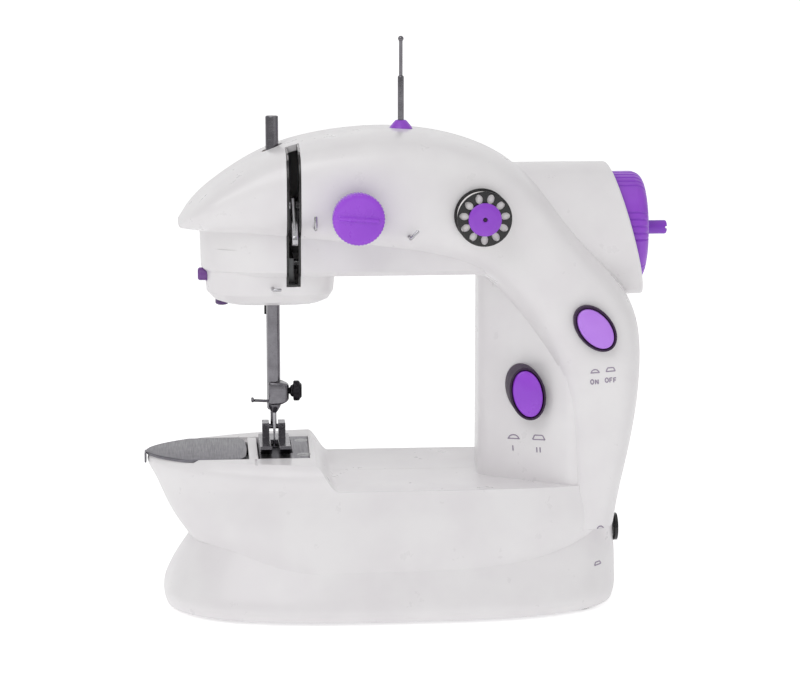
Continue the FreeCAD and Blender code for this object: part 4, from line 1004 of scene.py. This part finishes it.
def wing(along, radius, angle):
    """The head is pinched from a disc into two lobes: the radius falls by 45% where the angle is
    square to the wings."""
    on_head = np.clip((along - knob_low[0] - 4.2) / 0.6, 0, 1) * (radius > 1.6)
    return -0.42 * radius * on_head * np.abs(np.sin(angle + np.pi / 2)) ** 2.5


kx = knob_high[0]
knob_line = rounded([(knob_low[0], 1.15), (kx - 4.6, 1.2), (kx - 4.3, 2.2), (kx - 3.4, 2.4),
                     (kx - 3.2, 4.0), (kx - 1.0, 4.0), (kx - 0.6, 3.2), (kx, 2.6)], 0.5, 5)
knob = skin("clamp_wing_screw", turned(knob_line, "x", (0, 0, cz), 96, wing), black_oxide,
            crease=50.0)
stand_for(knob, "dark_chrome", "clamp_screw")
print("needle group made")

# %% [markdown]
# # Wire guides and take-up lever
# Thread guides are bent spring wire 1.2 mm thick. A guide is a tube along a rounded polyline.

# %% Wire pieces
def wire(points, radius=0.6, bend=1.2):
    """A tube along a bent wire; the last rows shrink so that its ends are rounded."""
    path = rounded(points, bend, 7)
    shares = np.array([[0.0], [0.12], [0.4]])
    ends = np.array([0.4, 0.85, 1.0])
    out, back = path[1] - path[0], path[-2] - path[-1]
    first = path[0] + out / np.linalg.norm(out) * shares
    last = path[-1] + back / np.linalg.norm(back) * shares[::-1]
    line = np.concatenate([first, path[1:-1], last])
    size = np.concatenate([ends, np.ones(len(path) - 2), ends[::-1]]) * radius
    return tube(line, size, 14)


guides = skin("front_thread_guides", [
    wire([(-37.2, -33.2, 150.8), (-37.2, -40.5, 150.8), (-37.2, -40.6, 155.9)]),
    wire([(-1.8, -33.2, 147.0), (-1.8, -40.5, 147.0), (1.2, -40.6, 150.2)]),
    wire([(-53.0, -21.2, 126.4), (-53.0, -27.5, 126.4), (-49.7, -27.6, 126.4)])], bright_chrome)
stand_for(guides, "chrome", "thread_guides")
guide = skin("needle_thread_guide", [wire([(-54.0, -2.2, 78.6), (-60.3, -2.4, 79.0),
             (-60.6, -5.8, 79.3), (-60.6, -6.0, 80.9)], 0.55, 1.4)], dark_chrome)
stand_for(guide, "chrome", "needle_guide")


pivot_y, pivot_z = -23.5, 158.0
lever_reach, lever_drop = 21.0, math.radians(30.0)


def lever_skin():
    """A flat lever 2 mm thick: in side view a capsule that tapers from the pivot to the eye,
    leaning 30 degrees down, with its eye drilled."""
    t = np.linspace(-np.pi / 2, np.pi / 2, 20)
    head_end = np.stack([-lever_reach - 2.4 * np.cos(t), -2.4 * np.sin(t)], 1)
    root_end = np.stack([3.2 * np.cos(t), 3.2 * np.sin(t)], 1)
    outline = np.concatenate([head_end, root_end])
    c, s = math.cos(lever_drop), math.sin(lever_drop)
    side = np.stack([pivot_y + outline[:, 0] * c - outline[:, 1] * s,
                     pivot_z + outline[:, 0] * s + outline[:, 1] * c], 1)
    return prism(side, "x", slot_x - 1.0, slot_x + 1.0, 0.35)


lever = skin("lever", lever_skin(), bright_chrome)
eye = (0.0, pivot_y - lever_reach * math.cos(lever_drop),
       pivot_z - lever_reach * math.sin(lever_drop))
combine(lever, [cutter(rod("x", 0.9, slot_x - 3, slot_x + 3, eye, columns=24))])
pin = skin("lever_pin", rod("x", 1.5, slot_x - 4.0, slot_x + 4.0, (0, pivot_y, pivot_z), 0.3, 32),
           bright_chrome)
lever = join_skins("take_up", [recast("take_up_arm", lever, bright_chrome), pin])
stand_for(lever, "chrome", "take_up_lever")
print("wire pieces made")

# %% [markdown]
# # Spool pin
# A telescopic pin for the thread spool stands on the arm: a purple cone, a steel tube and a thinner
# rod with a ball end, like an aerial.

# %% Spool pin
cone = rounded([(176.6, 1.3), (176.6, 3.0), (arm_top_z - 0.6, 3.0), (arm_top_z - 0.6, 4.55),
                (arm_top_z + 0.3, 4.3), (arm_top_z + 2.4, 2.6), (arm_top_z + 3.0, 2.0),
                (arm_top_z + 3.0, 1.3)], 0.5, 5, True)
stand_for(skin("spool_pin_cone", turned(cone, "z", (pin_x, 0, 0), 64), purple_abs, ring=True),
          "purple", "spool_pin_base")
tube_low, tube_high = limits("spool_pin_tube")
sleeve = [(tube_low[2], 0.77), (tube_low[2], 1.2), (tube_high[2] - 0.5, 1.2), (tube_high[2], 1.0),
          (tube_high[2], 0.77)]
stand_for(skin("spool_pin_sleeve", turned(rounded(sleeve, 0.15, 4, True), "z", (pin_x, 0, 0), 32),
               dark_chrome, ring=True), "chrome", "spool_pin_tube")
rod_low, rod_high = limits("spool_pin_rod")
ball = np.linspace(-0.7, np.pi / 2 - 0.08, 14)
tip = np.stack([rod_high[2] - 1.1 + 1.1 * np.sin(ball), 1.1 * np.cos(ball)], 1)
stem = [(rod_low[2], 0.6), (rod_low[2] + 0.3, 0.7), (rod_high[2] - 2.1, 0.7)]
aerial = np.concatenate([stem, tip])
stand_for(skin("spool_pin_aerial", turned(aerial, "z", (pin_x, 0, 0), 32), dark_chrome),
          "chrome", "spool_pin_rod")

# %% [markdown]
# # Bed plates
# The slide plate covers the hook; it is brushed steel with a white end bar and slides off to the
# left. The needle plate beside it has slots for the feed teeth and a hole for the needle.

# %% Slide plate
def slide_outline():
    """The bed's own squared outline pulled in 0.4 mm, kept between y = -19.9 and 19.9, and closed
    on the right by a straight edge with round corners."""
    c, s = squared((1.8, 1.8), 720)
    x, y = -25.0 - 77.3 * np.abs(c), 35.2 * s
    keep = (c < 0) & (np.abs(y) < 19.9)
    return np.stack([x[keep], y[keep]], 1)


edge_line = slide_outline()
front_end = [(-66.0, edge_line[-1, 1]), (-63.6, edge_line[-1, 1] + 4.0), (-62.8, 0.0),
             (-63.6, edge_line[0, 1] - 4.0), (-66.0, edge_line[0, 1])]
plate_line = np.concatenate([edge_line[::4], rounded(front_end, 3.0, 6)])
lip = block(-102.9, -102.15, -3.0, 3.0, bed_z - 4.5, bed_z - 0.6, 0.2)
sheet = prism(plate_line, "z", bed_z - 1.2, bed_z, 0.25)
plate = skin("slide_plate_steel", [sheet, lip], brushed_plate)
end_bar = block(-62.4, -58.75, -19.8, 19.8, bed_z - 1.2, bed_z, 0.3, 0.8)
end_bar = skin("slide_plate_end", end_bar, white_abs)
stand_for(plate, "plate_steel", "slide_plate")
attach(end_bar, body_of("slide_plate"))
print("plates made")

# %% Finishes of the carried-over pieces
finishes = {
    "white_shell": white_abs, "purple": purple_abs, "purple_deep": deep_abs,
    "purple_light": lilac_abs, "black_plastic": black_abs, "tray_grey": grey_abs,
    "rubber": foot_rubber, "steel_plate": brushed_plate, "bronze": brass,
    "steel_rod": ground_steel, "nylon": nylon, "motor_can": motor_steel, "belt": belt_rubber,
    "clear_plastic": clear_abs, "cast_metal": zinc, "plate_steel": brushed_plate,
    "chrome": bright_chrome, "dark_chrome": dark_chrome, "spring_steel": needle_steel,
    "thread": thread_white, "ring_dark": ring_abs, "board": board_green, "wire_red": wire_pvc}
slot_of = {part["node"]: part["material_slot"] for part in frame["record"]["subparts"]}
for name, node in frame["nodes"].items():
    for place in node.material_slots:
        place.material = finishes[slot_of[name]]
print("carried over:", sum(not node.hide_render for node in frame["nodes"].values()))

# %% [markdown]
# # Pressed and cast pieces
# The foot, plates, tray and hardware are carried over from the mechanism with the same shape. On
# the real ones no edge is knife sharp: a press or a mould leaves it rounded by a tenth or two.

# %% Eased edges
def eased(name, node, finish, width):
    """A copy of a mechanism piece with its points merged and its hard edges rounded by width."""
    mesh = frame["nodes"][node].data.copy()
    work = bmesh.new()
    work.from_mesh(mesh)
    bmesh.ops.remove_doubles(work, verts=work.verts, dist=0.002 * MM)
    bmesh.ops.dissolve_limit(work, angle_limit=math.radians(0.5), verts=work.verts,
                             edges=work.edges)
    work.to_mesh(mesh)
    work.free()
    piece = dress(name, mesh, finish, 30.0)
    tool = piece.modifiers.new("rounded_edges", "BEVEL")
    tool.width, tool.segments = width * MM, 2
    tool.limit_method, tool.angle_limit = "ANGLE", math.radians(40.0)
    return stand_for(weight_normals(piece), slot_of[node], node)


for name, node, finish, width in (
        ("foot_toes", "presser_foot", dark_chrome, 0.3),
        ("foot_lifter", "presser_lifter", black_abs, 0.4),
        ("stitch_plate", "needle_plate", brushed_plate, 0.12),
        ("corner_feet", "rubber_feet", foot_rubber, 0.4),
        ("tray", "base_tray", grey_abs, 0.25),
        ("battery_lid", "battery_door", grey_abs, 0.3),
        ("sockets", "jacks", black_abs, 0.25),
        ("screw_set", "screws", ground_steel, 0.12),
        ("bush_set", "bushes", brass, 0.15),
        ("bobbin_post", "bobbin_spindle", bright_chrome, 0.15)):
    piece = eased(name, node, finish, width)
    print(name, len(piece.data.polygons), "faces")

# %% [markdown]
# # Printed marks
# Grey marks are printed on the shell under the two buttons and beside the jacks: plain signs and
# the words ON and OFF. A mark is a set of pen strokes. Each point of a stroke is dropped onto the
# shell along Y, and the stroke is a strip of ink 0.1 mm proud of the surface there.

# %% Marks
front_skin = bpy.data.objects["front_shell"]
ray_tree = BVHTree.FromPolygons([v.co for v in front_skin.data.vertices],
                                [list(p.vertices) for p in front_skin.data.polygons])


def on_shell(x, z):
    """The y of the shell's front surface at x, z, in millimetres."""
    hit = ray_tree.ray_cast((x * MM, -70.0 * MM, z * MM), (0.0, 1.0, 0.0))[0]
    return hit.y / MM


def stroke(points, at, size, lean, width=0.42):
    """One pen stroke in a unit square, placed at (x, z), scaled, leant and laid on the shell."""
    line = np.array(points, float)
    steps = [np.linspace(a, b, 5, endpoint=False) for a, b in zip(line[:-1], line[1:])]
    line = np.concatenate(steps + [line[-1:]])
    c, s = math.cos(math.radians(lean)), math.sin(math.radians(lean))
    x = at[0] + size * (line[:, 0] * c - line[:, 1] * s)
    z = at[1] + size * (line[:, 0] * s + line[:, 1] * c)
    way = np.gradient(np.stack([x, z], 1), axis=0)
    side = np.stack([-way[:, 1], way[:, 0]], 1) / np.linalg.norm(way, axis=1)[:, None] * width / 2
    grid = np.zeros((len(x), 4, 3))
    for k, (across, depth) in enumerate(((1, -0.1), (-1, -0.1), (-1, 0.3), (1, 0.3))):
        px, pz = x + across * side[:, 0], z + across * side[:, 1]
        grid[:, k, 0], grid[:, k, 2] = px, pz
        grid[:, k, 1] = [on_shell(u, v) + depth for u, v in zip(px, pz)]
    return grid


arc = np.linspace(0.0, np.pi, 9)
signs = {
    "O": [[(0.35 * math.cos(a), 0.5 + 0.5 * math.sin(a)) for a in np.linspace(0, 2 * np.pi, 13)]],
    "N": [[(-0.3, 0.0), (-0.3, 1.0)], [(-0.3, 1.0), (0.3, 0.0)], [(0.3, 0.0), (0.3, 1.0)]],
    "F": [[(-0.25, 0.0), (-0.25, 1.0)], [(-0.25, 1.0), (0.3, 1.0)], [(-0.25, 0.5), (0.2, 0.5)]],
    "I": [[(0.0, 0.0), (0.0, 1.0)]],
    "pedal": [list(zip(0.9 * np.cos(arc), 0.75 * np.sin(arc))), [(-1.1, 0.0), (1.1, 0.0)]],
    "table": [[(-0.7, 0.85), (0.7, 0.85)], [(0.7, 0.85), (1.1, 0.0)], [(-0.7, 0.85), (-1.1, 0.0)],
              [(-1.1, 0.0), (1.1, 0.0)]]}
written = [
    ("pedal", 69.0, 94.4, 1.6), ("table", 75.0, 94.9, 1.6), ("O", 68.0, 90.0, 1.7),
    ("N", 69.8, 90.0, 1.7), ("O", 73.6, 90.6, 1.7), ("F", 75.2, 90.6, 1.7), ("F", 76.7, 90.6, 1.7),
    ("pedal", 40.0, 66.0, 2.0), ("table", 49.0, 66.6, 2.0), ("I", 39.8, 61.2, 2.0),
    ("I", 48.4, 61.5, 2.0), ("I", 49.6, 61.6, 2.0),
    ("pedal", 72.0, 33.2, 1.3), ("table", 72.0, 17.6, 1.3)]
ribbons = [stroke(line, (x, z), size, 4.0) for sign, x, z, size in written for line in signs[sign]]
prints = skin("printed_marks", ribbons, ink, crease=60.0)
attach(prints, "machine")
print("marks:", len(ribbons), "strokes")

# %% [markdown]
# # Floor and light
# The machine stands on a pale floor that rolls up into a backdrop, under wide soft lamps. A white
# plastic object needs its light from the sides: the shading on the curved body comes from a large
# lamp above and to the left, and a weaker one to the right keeps the shadow side open.

# %% Floor and lamps
def soft_box(name, azimuth, elevation, distance, size, watts):
    """A square area lamp aimed at the machine."""
    data = bpy.data.lights.new(name, "AREA")
    data.size = size
    data.energy = watts
    lamp = bpy.data.objects.new(name, data)
    scene.collection.objects.link(lamp)
    aim(lamp, (0.0, 0.0, 0.1), azimuth, elevation, distance)


def backdrop():
    """A floor 3 m deep that turns up behind through a quarter circle of 0.8 m."""
    t = np.linspace(0.0, np.pi / 2, 24)
    y = np.concatenate([[-3.0, 0.0], 1.6 + 0.8 * np.sin(t), [2.4]])
    z = np.concatenate([[0.0, 0.0], 0.8 * (1 - np.cos(t)), [3.5]])
    x = np.linspace(-3.5, 3.5, 8)
    grid = np.stack(np.broadcast_arrays(x[None], y[:, None], z[:, None]), -1)
    index = np.arange(grid.size // 3).reshape(grid.shape[:2])
    faces = np.stack([index[:-1, :-1], index[:-1, 1:], index[1:, 1:], index[1:, :-1]], -1)
    mesh = bpy.data.meshes.new("floor")
    mesh.from_pydata(grid.reshape(-1, 3).tolist(), [], faces.reshape(-1, 4).tolist())
    return mesh


pale = bpy.data.materials.new("matt_paper_backdrop")
pale.use_nodes = True
paper = pale.node_tree.nodes["Principled BSDF"]
paper.inputs["Base Color"].default_value = linear("#FBFBFB")
paper.inputs["Roughness"].default_value = 0.9
paper.inputs["Emission Color"].default_value = linear("#FFFFFF")
sight = add(pale.node_tree, "ShaderNodeLightPath")
glow = add(pale.node_tree, "ShaderNodeMapRange", {"To Min": 0.26, "To Max": 0.5},
           {"Value": sight.outputs["Is Camera Ray"]})
pale.node_tree.links.new(glow.outputs["Result"], paper.inputs["Emission Strength"])
floor = dress("floor", backdrop(), pale)
soft_box("key", -35.0, 48.0, 1.4, 1.0, 5.4)
soft_box("fill", 50.0, 25.0, 1.6, 1.2, 1.3)
soft_box("top", 0.0, 85.0, 1.5, 1.4, 1.6)
world = bpy.data.worlds.new("studio")
world.use_nodes = True
world.node_tree.nodes["Background"].inputs["Color"].default_value = linear("#FFFFFF")
world.node_tree.nodes["Background"].inputs["Strength"].default_value = 0.47
scene.world = world
scene.view_settings.view_transform = "Standard"
print("lights:", len(bpy.data.lights))
